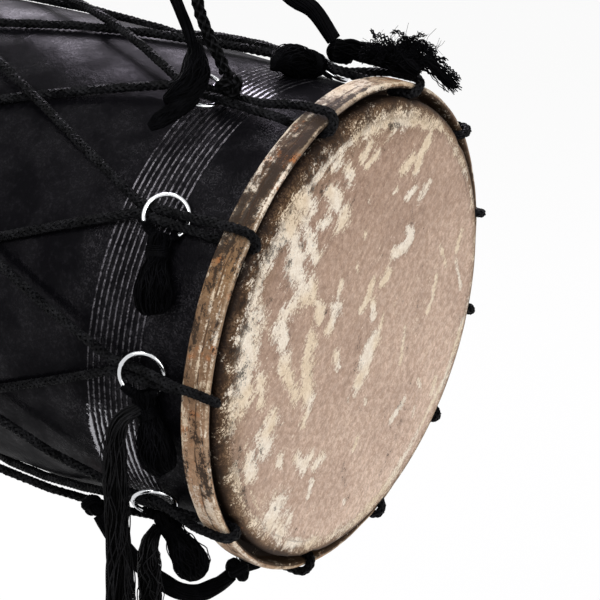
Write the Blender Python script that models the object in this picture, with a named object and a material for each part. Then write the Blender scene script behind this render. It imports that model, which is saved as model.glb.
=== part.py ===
"""A two-headed barrel drum (dhol) with rope lacing, tuning rings, yarn hanks and a shoulder strap.

The drum's axis is level, along X, with the treble head at +X. The origin is where the strap is held,
above the drum's middle. Lengths are in metres and angles in degrees, from the top towards +Y.
"""

import math
from dataclasses import dataclass

import bmesh
import bpy
from mathutils import Matrix, Vector

GAP = 0.0003
SEGMENTS = 50

# Barrel
SHELL_LENGTH = 0.620
MOUTH_RADIUS = 0.1865
BELLY_RADIUS = 0.1980
SHELL_WALL = 0.012
SHELL_LAND = 0.026
SHELL_STATIONS = 7

# Heads
TREBLE_HIDE = 0.0014
BASS_HIDE = 0.0019
SHOULDER = 0.006
WEB_DEPTH = 0.0210
LAP = 0.0011
CHANNEL = 0.0088
HOOP_SETBACK = 0.0015
BAND_WIDTH = 0.0235
HOOP_LEAN = 0.009
LEAN_ANGLE = 310
CORE_THICKNESS = 0.0024
SLOT_DEPTH = 0.0044
PASTE_RADIUS = 0.052
PASTE_TOP_RADIUS = 0.0416
PASTE_THICKNESS = 0.0035

# Lacing
ROPE_RADIUS = 0.0037
ROPE_CLEARANCE = 0.0004
WRAP_ANGLES = (22.8, 53.5, 81.2, 107.8, 136.5, 167.0, 200.2, 240.8, 279.0, 313.0, 346.2)
WRAPS = len(WRAP_ANGLES)
LACING_STEP = 3
LEG_STATIONS = 6
LAYER_CHANGE = 0.2
SLOT_WIDTH = 0.0092
WRAP_TURN = 54
FIRST_BASS_WRAP = 4
LACING_KNOT_RADIUS = 0.0078

# Depths along the lacing, measured from a hoop's rear edge
UNDER_HOOP = 0.0015
OVER_HOOP = 0.0035
DIVE = 0.0155
SETTLE = 0.045
LACING_KNOT_DEPTH = 0.033
BASS_PARTING = 0.075

# Tuning rings: their depths are measured from the treble hoop's rear edge
RING_RADIUS = 0.01675
RING_WIRE = 0.00175
RING_CLEARANCE = 0.0007
RING_BEHIND_HOOP = (0.057, 0.053, 0.057, 0.051, 0.059, 0.054, 0.057, 0.050, 0.040, 0.053, 0.092)
RING_BACK_TRAVEL = 0.008

# Yarn
HANK_RADIUS = 0.0130
HANK_OFFSET = -0.0030
HANK_SIDE = (-1, 1, 1, 1, 1, 1, -1, -1, -1, -1)
HANK_LENGTH = (0.056, 0.052, 0.052, 0.064, 0.064, 0.062, 0.028, 0.048, 0.060, 0.056)
HANK_DRIFT = (-0.010, 0.002, 0.004, 0.000, 0.004, 0.002, 0.026, 0.038, 0.022, 0.018)
HANK_SHAPE = ((0.00, 0.42), (0.05, 0.58), (0.20, 0.60), (0.36, 0.55), (0.54, 0.85), (0.72, 1.00),
              (0.87, 0.90), (0.96, 0.60), (1.00, 0.25))
FLANK_ANGLE = 90
FLANK_MARGIN = 10
TASSEL_RADIUS = 0.0100
TASSEL_SPACING = 0.0220

# Long tassels: points measured from the start of the hank that carries them
TASSEL_A_CARRIER = 8
TASSEL_A = ((0.0023, -0.0070, -0.0103), (-0.0037, -0.0210, -0.0173), (-0.0087, -0.0225, -0.0473),
            (-0.0107, -0.0215, -0.1013), (-0.0127, -0.0215, -0.2023))
TASSEL_A_SHAPE = (0.5, 0.95, 0.9, 1.0, 1.05, 1.0)
TASSEL_B_CARRIER = 7
TASSEL_B = ((0.0008, -0.0058, -0.0113), (0.0043, -0.0208, -0.0193), (0.0063, -0.0248, -0.0413),
            (0.0063, -0.0238, -0.0813))
TASSEL_B_SHAPE = (0.5, 0.9, 0.9, 1.0)

# Frayed tassel: depth behind the treble face, angle, and height over the lapped hoop
TOP_TASSEL = ((0.0557, 20.0, 0.0185), (0.0397, 19.6, 0.0169), (0.0187, 19.5, 0.0200),
              (-0.0023, 19.7, 0.0218), (-0.0233, 20.0, 0.0148))
TOP_TASSEL_SHAPE = (0.5, 0.9, 0.95, 1.1, 1.0, 0.5)

# Strand's hank: depth behind the treble face, angle, and height over the barrel
STRAP_HANK = ((0.1202, 347.3, 0.0441), (0.1080, 341.7, 0.0330), (0.1037, 337.1, 0.0295),
              (0.1147, 334.1, 0.0215), (0.1252, 330.9, 0.0155))
STRAP_HANK_SHAPE = (0.55, 0.76, 0.92, 0.8, 0.55)

# Swag cord: depth behind the treble face, angle, and height over the barrel
SWAG_RADIUS = 0.0070
SWAG_SPACING = 0.028
SWAG_KNOT_RADIUS = 0.0090
SWAG_FRONT_ANGLE = 224.4
SWAG_REAR_WRAP = 7
SWAG_REAR_DEPTH = 0.1417
SWAG = ((0.0335, 222.1, 0.0408), (0.0497, 221.3, 0.0521), (0.0717, 222.0, 0.0545),
        (0.1017, 225.7, 0.0456), (0.1237, 230.0, 0.0331))

# Strap: the cords run from the treble end over the hanging point to the bass end
AXIS_DROP = 0.448
STRAP_ROPE_RADIUS = 0.0052
STRAP_YARN_RADIUS = 0.0045
STRAP_CORD_RADIUS = 0.0080
STRAP_ROPE_SPACING = 0.026
STRAP_CORD_SPACING = 0.040
STRAP_YARN_SPACING = 0.0225
ROPE_KNOT_RADIUS = 0.0095
CORD_KNOT_RADIUS = 0.0115
ROPE_WRAP = 10
CORD_WRAP = 0
CORD_KNOT_AHEAD = 0.0083
BASS_KNOT_DEPTH = 0.0872

# Strap: the first points of each cord, measured from its knot, and of the strand, from its hank
ROPE_NEAR = ((-0.0105, 0.0023, 0.0170), (-0.0215, 0.0043, 0.0310), (-0.0305, 0.0058, 0.0470),
             (-0.0385, 0.0073, 0.0653))
CORD_NEAR = ((-0.0230, -0.0075, 0.0327), (-0.0435, -0.0125, 0.0447))
YARN_NEAR = ((0.0008, -0.0035, -0.0030), (-0.0045, -0.0020, 0.0100), (-0.0165, -0.0015, 0.0330))
ROPE_BOW = 0.0090
CORD_BOW = -0.0050
YARN_BOW = 0.0175
RISE_SHARES = (0.25, 0.70)
FALL_SHARES = (0.35, 0.70)
CREST = (0.045, 0.012)
CREST_HALF = 0.014
ROPE_ASIDE = -0.0078
CORD_ASIDE = 0.0080
YARN_ASIDE = -0.0185
BINDING_RADIUS = 0.0035
BINDING_POINTS = 20
BINDING_ROOM = 0.0013
BINDING_ROUNDING = 0.6

DRUM = Vector((0.0, 0.0, -AXIS_DROP))


@dataclass(frozen=True)
class Head:
    """One end of the drum: side is +1 for the treble end and -1 for the bass end."""

    name: str
    side: int
    hide: float
    lean: float

    @property
    def face(self):
        """Distance of the playing face from the drum's middle."""
        return SHELL_LENGTH / 2 + GAP + self.hide

    @property
    def rim_radius(self):
        """Radius of the shell's rounded bearing edge under this head."""
        return SHOULDER - self.hide - GAP

    @property
    def skirt(self):
        """Outer radius of the hide where it lies on the shell."""
        return MOUTH_RADIUS + GAP + self.hide

    @property
    def lap_inner(self):
        """Inner radius of the hide that is lapped round the hoop."""
        return self.skirt + CHANNEL

    @property
    def lap_outer(self):
        """Outer radius of the lapped hoop."""
        return self.lap_inner + 2 * LAP + 2 * GAP + CORE_THICKNESS

    @property
    def edge_radius(self):
        """Radius of the rounded front edge of the lapped hoop."""
        return (self.lap_outer - self.lap_inner) / 2

    @property
    def edge_depth(self):
        """Depth of the front edge's centre behind the playing face."""
        return HOOP_SETBACK + self.edge_radius

    @property
    def band_rear(self):
        """Depth of the lapped hoop's rear edge behind the playing face."""
        return HOOP_SETBACK + BAND_WIDTH

    @property
    def bend_radius(self):
        """Radius of the rope's bend round the hoop's front edge."""
        return self.edge_radius + ROPE_RADIUS + 2 * ROPE_CLEARANCE

    @property
    def edge_centre(self):
        """Drum radius at the middle of the lapped hoop's wall."""
        return (self.lap_inner + self.lap_outer) / 2

    def set_back(self, angle):
        """Extra depth of the hoop at an angle, because it leans; it has none at LEAN_ANGLE."""
        return self.lean * (1 - math.cos(math.radians(angle - LEAN_ANGLE))) / 2


TREBLE = Head("treble", 1, TREBLE_HIDE, HOOP_LEAN)
BASS = Head("bass", -1, BASS_HIDE, 0.0)


def clear_scene():
    """Remove every object."""
    for item in list(bpy.data.objects):
        bpy.data.objects.remove(item, do_unlink=True)


def make_material(name, color, roughness, metallic=0.0):
    """Return a plain Principled material."""
    material = bpy.data.materials.new(name)
    material.use_nodes = True
    shader = material.node_tree.nodes["Principled BSDF"]
    shader.inputs["Base Color"].default_value = (*color, 1.0)
    shader.inputs["Roughness"].default_value = roughness
    shader.inputs["Metallic"].default_value = metallic
    return material


def shell_radius(x):
    """Outer radius of the barrel at a place along its axis."""
    reach = min(abs(x) / (SHELL_LENGTH / 2 - SHELL_LAND), 1.0)
    return BELLY_RADIUS - (BELLY_RADIUS - MOUTH_RADIUS) * reach * reach


def shell_slope(x):
    """Change of the barrel's radius per length along its axis."""
    return -2 * (BELLY_RADIUS - MOUTH_RADIUS) * x / (SHELL_LENGTH / 2 - SHELL_LAND) ** 2


def radial(angle):
    """Unit vector away from the drum's axis."""
    turn = math.radians(angle)
    return Vector((0.0, math.sin(turn), math.cos(turn)))


def around(angle):
    """Unit vector round the drum, towards a larger angle."""
    turn = math.radians(angle)
    return Vector((0.0, math.cos(turn), -math.sin(turn)))


def place(x, angle, radius):
    """World point of a place on the drum."""
    return DRUM + Vector((x, 0.0, 0.0)) + radius * radial(angle)


def arc(centre_x, centre_r, radius, start, end, count):
    """Points of an arc in the drum's section, from angles measured from +x towards +r."""
    points = []
    for index in range(count):
        turn = math.radians(start + (end - start) * index / (count - 1))
        points.append((centre_x + radius * math.cos(turn), centre_r + radius * math.sin(turn)))
    return points


def add_mesh(name, mesh_data, material, smooth=True):
    """Write a bmesh to a named object, shaded smooth except at sharp edges."""
    bmesh.ops.recalc_face_normals(mesh_data, faces=mesh_data.faces)
    mesh = bpy.data.meshes.new(name)
    mesh_data.to_mesh(mesh)
    mesh_data.free()
    mesh.materials.append(material)
    if smooth:
        mesh.shade_smooth()
        mesh.set_sharp_from_angle(angle=math.radians(35))
    item = bpy.data.objects.new(name, mesh)
    bpy.context.scene.collection.objects.link(item)
    return item


def turned(name, profile, material, closed=True):
    """Spin a section, given as (x, radius) points, round the drum's axis."""
    mesh_data = bmesh.new()
    corners = [mesh_data.verts.new((x, 0.0, r)) for x, r in profile]
    edges = [mesh_data.edges.new(pair) for pair in zip(corners, corners[1:])]
    if closed:
        edges.append(mesh_data.edges.new((corners[-1], corners[0])))
    bmesh.ops.spin(mesh_data, geom=corners + edges, cent=(0, 0, 0), axis=(1, 0, 0),
                   angle=2 * math.pi, steps=SEGMENTS, use_merge=True)
    bmesh.ops.remove_doubles(mesh_data, verts=mesh_data.verts, dist=0.00001)
    item = add_mesh(name, mesh_data, material)
    item.location = DRUM
    return item


def make_curve(name, points, radius, material, resolution=2, swell=None):
    """Make a capped tube along points; swell holds a factor for the radius at each point."""
    curve = bpy.data.curves.new(name, "CURVE")
    curve.dimensions = "3D"
    curve.bevel_depth = radius
    curve.bevel_resolution = resolution
    curve.use_fill_caps = True
    curve.resolution_u = 1
    spline = curve.splines.new("POLY")
    spline.points.add(len(points) - 1)
    for index, point in enumerate(points):
        spline.points[index].co = (*point, 1.0)
        spline.points[index].radius = swell[index] if swell else 1.0
    curve.materials.append(material)
    item = bpy.data.objects.new(name, curve)
    bpy.context.scene.collection.objects.link(item)
    return item


def as_mesh(item):
    """Replace a curve object by a mesh object of the same name and material."""
    name = item.name
    material = item.data.materials[0]
    graph = bpy.context.evaluated_depsgraph_get()
    mesh = bpy.data.meshes.new_from_object(item.evaluated_get(graph))
    bpy.data.objects.remove(item, do_unlink=True)
    mesh_data = bmesh.new()
    mesh_data.from_mesh(mesh)
    bpy.data.meshes.remove(mesh)
    bmesh.ops.remove_doubles(mesh_data, verts=mesh_data.verts, dist=0.00001)
    return add_mesh(name, mesh_data, material)


def smooth_route(points, spacing):
    """Points at an even spacing along a smooth curve through a cord's own points."""
    padded = [2 * points[0] - points[1], *points, 2 * points[-1] - points[-2]]
    fine = []
    for p0, p1, p2, p3 in zip(padded, padded[1:], padded[2:], padded[3:]):
        for step in range(24):
            t = step / 24
            fine.append(0.5 * (2 * p1 + (p2 - p0) * t + (2 * p0 - 5 * p1 + 4 * p2 - p3) * t ** 2
                               + (3 * p1 - p0 - 3 * p2 + p3) * t ** 3))
    fine.append(points[-1].copy())
    lengths = [0.0]
    for here, there in zip(fine, fine[1:]):
        lengths.append(lengths[-1] + (there - here).length)
    count = max(2, round(lengths[-1] / spacing))
    route = []
    index = 0
    for step in range(count + 1):
        wanted = lengths[-1] * step / count
        while index < len(fine) - 2 and lengths[index + 1] < wanted:
            index += 1
        part = (wanted - lengths[index]) / max(lengths[index + 1] - lengths[index], 1e-9)
        route.append(fine[index].lerp(fine[index + 1], min(part, 1.0)))
    return route


def add_ball(name, centre, radius, material):
    """Add a round knot."""
    mesh_data = bmesh.new()
    bmesh.ops.create_uvsphere(mesh_data, u_segments=12, v_segments=8, radius=radius)
    item = add_mesh(name, mesh_data, material)
    item.location = centre
    return item


def ball_exit(centre, radius, towards):
    """Point just outside a round knot, on the line from its middle to another point."""
    return centre + (towards - centre).normalized() * (radius + GAP)


def rim_arc(head):
    """Rounded bearing edge of the shell under a head, concentric with the hide's shoulder."""
    radius = head.rim_radius
    return arc(SHELL_LENGTH / 2 - radius, MOUTH_RADIUS - radius, radius, 0, 90, 4)


def make_shell(material):
    """Make the barrel: an open tube with rounded bearing edges and a swelling middle."""
    half = SHELL_LENGTH / 2
    reach = half - SHELL_LAND
    outer = rim_arc(TREBLE)
    for index in range(SHELL_STATIONS):
        x = reach * (1 - 2 * index / (SHELL_STATIONS - 1))
        outer.append((x, shell_radius(x)))
    outer += [(-x, r) for x, r in reversed(rim_arc(BASS))]
    inner = []
    for x in (-half, -reach, -reach / 2, 0.0, reach / 2, reach, half):
        inner.append((x, shell_radius(x) - SHELL_WALL))
    return turned("shell", outer + inner, material)


def hide_profile(head):
    """Section of a hide: face, rounded shoulder, skirt, web and the lap round the hoop."""
    edge = head.edge_depth
    pocket_outer = head.lap_outer - LAP
    pocket_inner = head.lap_inner + LAP
    pocket_front = HOOP_SETBACK + LAP + GAP
    inner_radius = SHOULDER - head.hide
    outline = [(0.0, 0.0)]
    outline += arc(-SHOULDER, head.skirt - SHOULDER, SHOULDER, 0, 90, 4)
    outline += [(-WEB_DEPTH, head.skirt), (-WEB_DEPTH, head.lap_inner)]
    outline += arc(-edge, head.edge_centre, head.edge_radius, -90, 90, 5)
    outline += [(-head.band_rear, head.lap_outer), (-head.band_rear, pocket_outer)]
    outline += [(-pocket_front, pocket_outer), (-pocket_front, pocket_inner)]
    outline += [(-WEB_DEPTH - LAP, pocket_inner), (-WEB_DEPTH - LAP, head.skirt - head.hide)]
    outline += list(reversed(arc(-SHOULDER, head.skirt - SHOULDER, inner_radius, 0, 90, 4)))
    outline.append((-head.hide, 0.0))
    return [(head.side * (x + head.face), r) for x, r in outline]


def wrap_angles(head):
    """Angles of the rope's wraps on one hoop."""
    if head.side > 0:
        return list(WRAP_ANGLES)
    return [bass_angle(index) for index in range(WRAPS)]


def make_slot_cutter(head):
    """Make the blocks that cut a slot through the hide's web at each wrap of the rope."""
    mesh_data = bmesh.new()
    inner = head.skirt - GAP
    outer = head.lap_inner + GAP
    spread = wrap_spread(head)
    for angle in wrap_angles(head):
        middle = head.side * (head.face - WEB_DEPTH - LAP / 2 - head.set_back(angle))
        block = bmesh.ops.create_cube(mesh_data, size=1.0)["verts"]
        shape = Matrix.Diagonal((SLOT_DEPTH, SLOT_WIDTH, outer - inner, 1.0))
        bmesh.ops.transform(mesh_data, matrix=shape, verts=block)
        turn = Matrix.Rotation(-math.radians(angle - spread), 4, "X")
        shift = Matrix.Translation((middle, 0.0, (inner + outer) / 2))
        bmesh.ops.transform(mesh_data, matrix=turn @ shift, verts=block)
    cutter = add_mesh(head.name + "_slot_cutter", mesh_data, bpy.data.materials["hide"], smooth=False)
    cutter.location = DRUM
    return cutter


def lean_back(item, head):
    """Move what lies round or under the skirt of a turned piece with its leaning hoop."""
    for vertex in item.data.vertices:
        depth = head.face - head.side * vertex.co.x
        radius = math.hypot(vertex.co.y, vertex.co.z)
        if depth > SHOULDER + GAP or radius > head.skirt + GAP:
            angle = math.degrees(math.atan2(vertex.co.y, vertex.co.z))
            vertex.co.x -= head.side * head.set_back(angle)


def make_head(head, material):
    """Make a hide with its rope slots."""
    hide = turned(head.name + "_hide", hide_profile(head), material, closed=False)
    lean_back(hide, head)
    subtract(hide, make_slot_cutter(head))
    return hide


def make_hoop(head, material):
    """Make the hoop core that lies in the hide's lap."""
    inner = head.lap_inner + LAP + GAP
    front = head.face - HOOP_SETBACK - LAP - 2 * GAP
    rear = head.face - head.band_rear + GAP
    section = [(front, inner), (front, inner + CORE_THICKNESS),
               (rear, inner + CORE_THICKNESS), (rear, inner)]
    hoop = turned(head.name + "_hoop", [(head.side * x, r) for x, r in section], material)
    lean_back(hoop, head)
    return hoop


def make_paste(material):
    """Make the dried paste on the inside of the bass hide."""
    outside = -(SHELL_LENGTH / 2)
    inside = outside + PASTE_THICKNESS
    section = [(outside, 0.0), (outside, PASTE_RADIUS), (inside, PASTE_TOP_RADIUS), (inside, 0.0)]
    return turned("bass_paste", section, material, closed=False)


def treble_angle(index):
    """Angle of a treble wrap, counted on past a full turn."""
    return WRAP_ANGLES[index % WRAPS] + 360 * (index // WRAPS)


def bass_angle(index):
    """Angle of a bass wrap, halfway between two treble wraps."""
    return (treble_angle(index) + treble_angle(index + 1)) / 2


def wrap_spread(head):
    """Half the angle between the two legs of a wrap, which lie side by side."""
    return math.degrees((ROPE_RADIUS + ROPE_CLEARANCE) / head.edge_centre)


def lift(x):
    """Radius of the rope where a ring's wire lies between it and the barrel."""
    return shell_radius(x) + 2 * RING_WIRE + 2 * RING_CLEARANCE + ROPE_RADIUS


def wrap_points(head, angle, exit_depth, exit_lift):
    """Rope points of one wrap, as (x, angle, radius): in under the hoop and out over it."""
    spread = wrap_spread(head)
    channel = head.edge_centre - head.bend_radius
    over = head.edge_centre + head.bend_radius
    back = head.set_back(angle)
    rear = head.band_rear + back
    front = head.edge_depth + back
    dive = rear + DIVE
    settle = rear + SETTLE
    points = [
        (exit_depth, -spread, exit_lift(head.face - exit_depth)),
        (dive, -spread, exit_lift(head.face - dive)),
        (rear + UNDER_HOOP, -spread, channel),
        (front, -spread, channel),
    ]
    corner = head.bend_radius + GAP
    for x, r in arc(0.0, head.edge_centre, corner, -WRAP_TURN, WRAP_TURN, 4):
        share = (r - head.edge_centre) / corner
        points.append((front - x, share * spread, r))
    points += [
        (front, spread, over),
        (rear + OVER_HOOP, spread, over),
        (settle, spread, exit_lift(head.face - settle)),
        (exit_depth, spread, exit_lift(head.face - exit_depth)),
    ]
    return [(head.side * (head.face - depth), angle + turn, r) for depth, turn, r in points]


def leg_points(start, end, height):
    """Rope points between two wraps; height gives the rope's lift over the barrel."""
    points = []
    for index in range(1, LEG_STATIONS + 1):
        share = index / (LEG_STATIONS + 1)
        x = start[0] + (end[0] - start[0]) * share
        angle = start[1] + (end[1] - start[1]) * share
        points.append((x, angle, shell_radius(x) + height(share)))
    return points


def ring_depth(index):
    """Depth of a tuning ring's centre behind the treble face."""
    wrap = index % WRAPS
    return TREBLE.band_rear + TREBLE.set_back(WRAP_ANGLES[wrap]) + RING_BEHIND_HOOP[wrap]


def parting_depth(index):
    """Depth behind the treble face where the two legs of a wrap part."""
    return ring_depth(index) + RING_RADIUS + RING_WIRE + RING_BACK_TRAVEL


LOW_LAYER = ROPE_RADIUS + 2 * ROPE_CLEARANCE
HIGH_LAYER = LOW_LAYER + 2 * ROPE_RADIUS + 2 * ROPE_CLEARANCE


def high_height(share):
    """Lift of a leg from the treble to the bass end: it crosses over the others."""
    ring_lift = lift(0.0) - shell_radius(0.0)
    if share < LAYER_CHANGE:
        return ring_lift + (HIGH_LAYER - ring_lift) * share / LAYER_CHANGE
    if share > 1 - LAYER_CHANGE:
        return HIGH_LAYER + (LOW_LAYER - HIGH_LAYER) * (share - 1 + LAYER_CHANGE) / LAYER_CHANGE
    return HIGH_LAYER


def low_height(share):
    """Lift of a leg from the bass to the treble end, which lies on the barrel."""
    ring_lift = lift(0.0) - shell_radius(0.0)
    if share > 1 - LAYER_CHANGE:
        return LOW_LAYER + (ring_lift - LOW_LAYER) * (share - 1 + LAYER_CHANGE) / LAYER_CHANGE
    return LOW_LAYER


def bass_parting():
    """Depth behind the bass face where the two legs of a wrap part."""
    return BASS.band_rear + BASS_PARTING


def bass_lift(x):
    """Radius of the rope beside the bass hoop."""
    return shell_radius(x) + LOW_LAYER


def lacing_route():
    """Rope points of the whole lacing, as (x, angle, radius)."""
    index = FIRST_BASS_WRAP
    first = wrap_points(BASS, bass_angle(index), bass_parting(), bass_lift)
    route = [first[-1]]
    for _ in range(WRAPS):
        treble_index = index + LACING_STEP - 1
        near = wrap_points(TREBLE, treble_angle(treble_index), parting_depth(treble_index), lift)
        route += leg_points(route[-1], near[0], low_height)
        route += near
        index += LACING_STEP
        far = wrap_points(BASS, bass_angle(index), bass_parting(), bass_lift)
        route += leg_points(near[-1], far[0], high_height)
        route += far
    return route


def lacing_knot_place():
    """Middle of the knot that joins the lacing's two ends, beside the bass hoop."""
    x = -(BASS.face - BASS.band_rear - LACING_KNOT_DEPTH)
    aside = LACING_KNOT_RADIUS + ROPE_RADIUS + 8 * GAP
    angle = bass_angle(FIRST_BASS_WRAP) - wrap_spread(BASS) + math.degrees(aside / shell_radius(x))
    return x, angle, shell_radius(x) + LACING_KNOT_RADIUS + 2 * GAP


def make_lacing(rope, knot_material):
    """Make the lacing rope, whole, and the knot between its ends."""
    x, angle, radius = lacing_knot_place()
    route = lacing_route()
    start = (x + LACING_KNOT_RADIUS + 3 * GAP, angle, radius)
    end = (x - LACING_KNOT_RADIUS - 3 * GAP, angle, radius)
    route = [start] + route[1:-2] + [end]
    points = [place(*point) for point in route]
    lacing = make_curve("lacing_rope", points, ROPE_RADIUS, rope, resolution=1)
    knot = add_ball("lacing_knot", place(x, angle, radius), LACING_KNOT_RADIUS, knot_material)
    return lacing, knot


def rope_slope(index):
    """Fall of the rope's radius per length towards the treble head, at a ring."""
    return shell_slope(TREBLE.face - ring_depth(index))


def ring_frame(index):
    """Centre, slide direction, sideways direction and outward direction of a tuning ring."""
    angle = WRAP_ANGLES[index]
    x = TREBLE.face - ring_depth(index)
    centre = place(x, angle, lift(x))
    forward = (Vector((1.0, 0.0, 0.0)) + rope_slope(index) * radial(angle)).normalized()
    side = around(angle)
    return centre, forward, side, side.cross(forward)


def ring_tilt():
    """Angle between a ring and the ropes that pass over one rim and under the other."""
    beside = ROPE_RADIUS + ROPE_CLEARANCE
    reach = math.sqrt(RING_RADIUS ** 2 - beside ** 2)
    return math.asin((ROPE_RADIUS + RING_WIRE + RING_CLEARANCE) / reach)


def ring_matrix(index):
    """Placement of a ring: it rises from its forward rim to its rear rim."""
    centre, forward, side, outward = ring_frame(index)
    if outward.dot(radial(WRAP_ANGLES[index])) < 0:
        outward = -outward
    tilt = ring_tilt()
    along = forward * math.cos(tilt) - outward * math.sin(tilt)
    normal = forward * math.sin(tilt) + outward * math.cos(tilt)
    across = normal.cross(along)
    turn = Matrix((along, across, normal)).transposed().to_4x4()
    return Matrix.Translation(centre) @ turn


def make_ring(index, material):
    """Make one tuning ring, with its origin on its slide."""
    bpy.ops.mesh.primitive_torus_add(major_radius=RING_RADIUS, minor_radius=RING_WIRE,
                                     major_segments=18, minor_segments=6)
    ring = bpy.context.object
    ring.name = f"tuning_ring_{index + 1:02d}"
    ring.data.name = ring.name
    ring.data.materials.append(material)
    ring.data.shade_smooth()
    ring.matrix_world = ring_matrix(index)
    return ring


def hang_route(x, angle, height, side, drops, drift):
    """Points that run round the barrel from a place on it, then straight down past its flank."""
    points = []
    base = None
    for drop, clear in drops:
        shift = x + drift * drop / drops[-1][0]
        radius = shell_radius(x) + max(height, clear)
        turn = angle + side * math.degrees(drop / radius)
        from_top = min(turn % 360, 360 - turn % 360)
        if base is None and (from_top <= FLANK_ANGLE or not points):
            points.append(place(shift, turn, radius))
            base = (drop, points[-1]) if from_top > FLANK_ANGLE else None
            continue
        if base is None:
            base = (drops[len(points) - 1][0], points[-1])
        beside = radius if from_top < FLANK_ANGLE + FLANK_MARGIN else 0.0
        flank = math.copysign(max(abs(base[1].y), beside), base[1].y)
        points.append(Vector((shift, flank, base[1].z - (drop - base[0]))))
    return points


def make_wire_cutter(index, name, material):
    """Make a ring a little thicker than the wire, to cut the yarn clear of it."""
    bpy.ops.mesh.primitive_torus_add(major_radius=RING_RADIUS, minor_radius=RING_WIRE + 1.5 * GAP,
                                     major_segments=18, minor_segments=6)
    cutter = bpy.context.object
    cutter.name = name
    cutter.data.materials.append(material)
    cutter.matrix_world = ring_matrix(index)
    return cutter


def hank_shape(index):
    """Route and radius factors of a hank that starts round its ring's wire."""
    side = HANK_SIDE[index]
    x = TREBLE.face - ring_depth(index)
    reach = RING_RADIUS + HANK_OFFSET
    knot = place(x, WRAP_ANGLES[index], lift(x)) + side * around(WRAP_ANGLES[index]) * reach - DRUM
    knot_angle = math.degrees(math.atan2(knot.y, knot.z)) % 360
    knot_height = math.hypot(knot.y, knot.z) - shell_radius(x)
    drops = []
    swell = []
    for share, factor in HANK_SHAPE:
        radius = factor * HANK_RADIUS
        drops.append((HANK_LENGTH[index] * share, radius + 2 * GAP + ROPE_CLEARANCE))
        swell.append(factor)
    points = hang_route(x, knot_angle, knot_height, side, drops, HANK_DRIFT[index])
    return points, swell


def make_hank(index, material):
    """Make a yarn hank: a knot round the ring's wire and a hanging loop, cut clear of the wire."""
    points, swell = hank_shape(index)
    item = make_curve(f"yarn_hank_{index + 1:02d}", points, HANK_RADIUS, material, 2, swell)
    hank = as_mesh(item)
    subtract(hank, make_wire_cutter(index, f"wire_cutter_{index + 1:02d}", material))
    return hank


def subtract(item, cutter):
    """Cut one solid with another, which is hidden."""
    cut = item.modifiers.new("cut_" + cutter.name, "BOOLEAN")
    cut.operation = "DIFFERENCE"
    cut.solver = "EXACT"
    cut.object = cutter
    cutter.hide_render = True
    cutter.display_type = "WIRE"


def offsets(base, points):
    """Points given as offsets from another point."""
    return [base + Vector(point) for point in points]


def over_barrel(points):
    """Points given as depth behind the treble face, angle, and height over the barrel."""
    placed = []
    for depth, angle, height in points:
        x = TREBLE.face - depth
        placed.append(place(x, angle, shell_radius(x) + height))
    return placed


def make_tassel(name, route, radius, factors, material):
    """Make a long bundle of yarn along a route, as a mesh."""
    points = smooth_route(route, TASSEL_SPACING)
    swell = []
    for index in range(len(points)):
        place_on = index / (len(points) - 1) * (len(factors) - 1)
        low = min(int(place_on), len(factors) - 2)
        swell.append(factors[low] + (factors[low + 1] - factors[low]) * (place_on - low))
    return as_mesh(make_curve(name, points, radius, material, 2, swell))


def make_carried_tassel(name, carrier, route, factors, material):
    """Make a tassel that starts in a hank and is cut to lie against it."""
    points, swell = hank_shape(carrier)
    tassel = make_tassel(name, offsets(points[0], route), TASSEL_RADIUS, factors, material)
    wider = [factor + GAP / HANK_RADIUS for factor in swell]
    cutter = as_mesh(make_curve(name + "_seat_cutter", points, HANK_RADIUS, material, 2, wider))
    subtract(tassel, cutter)
    return tassel


def make_tassels(material):
    """Make the two long tassels, which hang on hanks, and the frayed one on top."""
    make_carried_tassel("long_tassel_a", TASSEL_A_CARRIER, TASSEL_A, TASSEL_A_SHAPE, material)
    make_carried_tassel("long_tassel_b", TASSEL_B_CARRIER, TASSEL_B, TASSEL_B_SHAPE, material)
    route = [place(TREBLE.face - depth, angle, TREBLE.lap_outer + height)
             for depth, angle, height in TOP_TASSEL]
    start = ball_exit(cord_knot(TREBLE), CORD_KNOT_RADIUS, route[0])
    make_tassel("top_frayed_tassel", [start, *route], TASSEL_RADIUS, TOP_TASSEL_SHAPE, material)


def leg_place(wrap, x):
    """Middle of the low leg that comes to a treble wrap, at a place along the axis."""
    near = wrap_points(TREBLE, treble_angle(wrap), parting_depth(wrap), lift)[0]
    far = wrap_points(BASS, bass_angle(wrap - LACING_STEP + 1), bass_parting(), bass_lift)[-1]
    share = (x - far[0]) / (near[0] - far[0])
    angle = far[1] + (near[1] - far[1]) * share
    return angle, shell_radius(x) + low_height(share)


def make_swag(material):
    """Make the swag cord under the treble end and its two knots, on the hoop and on a rope."""
    front_depth = (HOOP_SETBACK + TREBLE.band_rear) / 2 + TREBLE.set_back(SWAG_FRONT_ANGLE)
    front_x = TREBLE.face - front_depth
    front = place(front_x, SWAG_FRONT_ANGLE, TREBLE.lap_outer + GAP + SWAG_KNOT_RADIUS)
    rear_x = TREBLE.face - SWAG_REAR_DEPTH
    angle, radius = leg_place(SWAG_REAR_WRAP, rear_x)
    rear = place(rear_x, angle, radius + ROPE_RADIUS + GAP + SWAG_KNOT_RADIUS)
    add_ball("swag_front_knot", front, SWAG_KNOT_RADIUS, material)
    add_ball("swag_rear_knot", rear, SWAG_KNOT_RADIUS, material)
    middle = over_barrel(SWAG)
    start = ball_exit(front, SWAG_KNOT_RADIUS, middle[0])
    end = ball_exit(rear, SWAG_KNOT_RADIUS, middle[-1])
    route = smooth_route([start, *middle, end], SWAG_SPACING)
    make_curve("bottom_swag_cord", route, SWAG_RADIUS, material)


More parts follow.
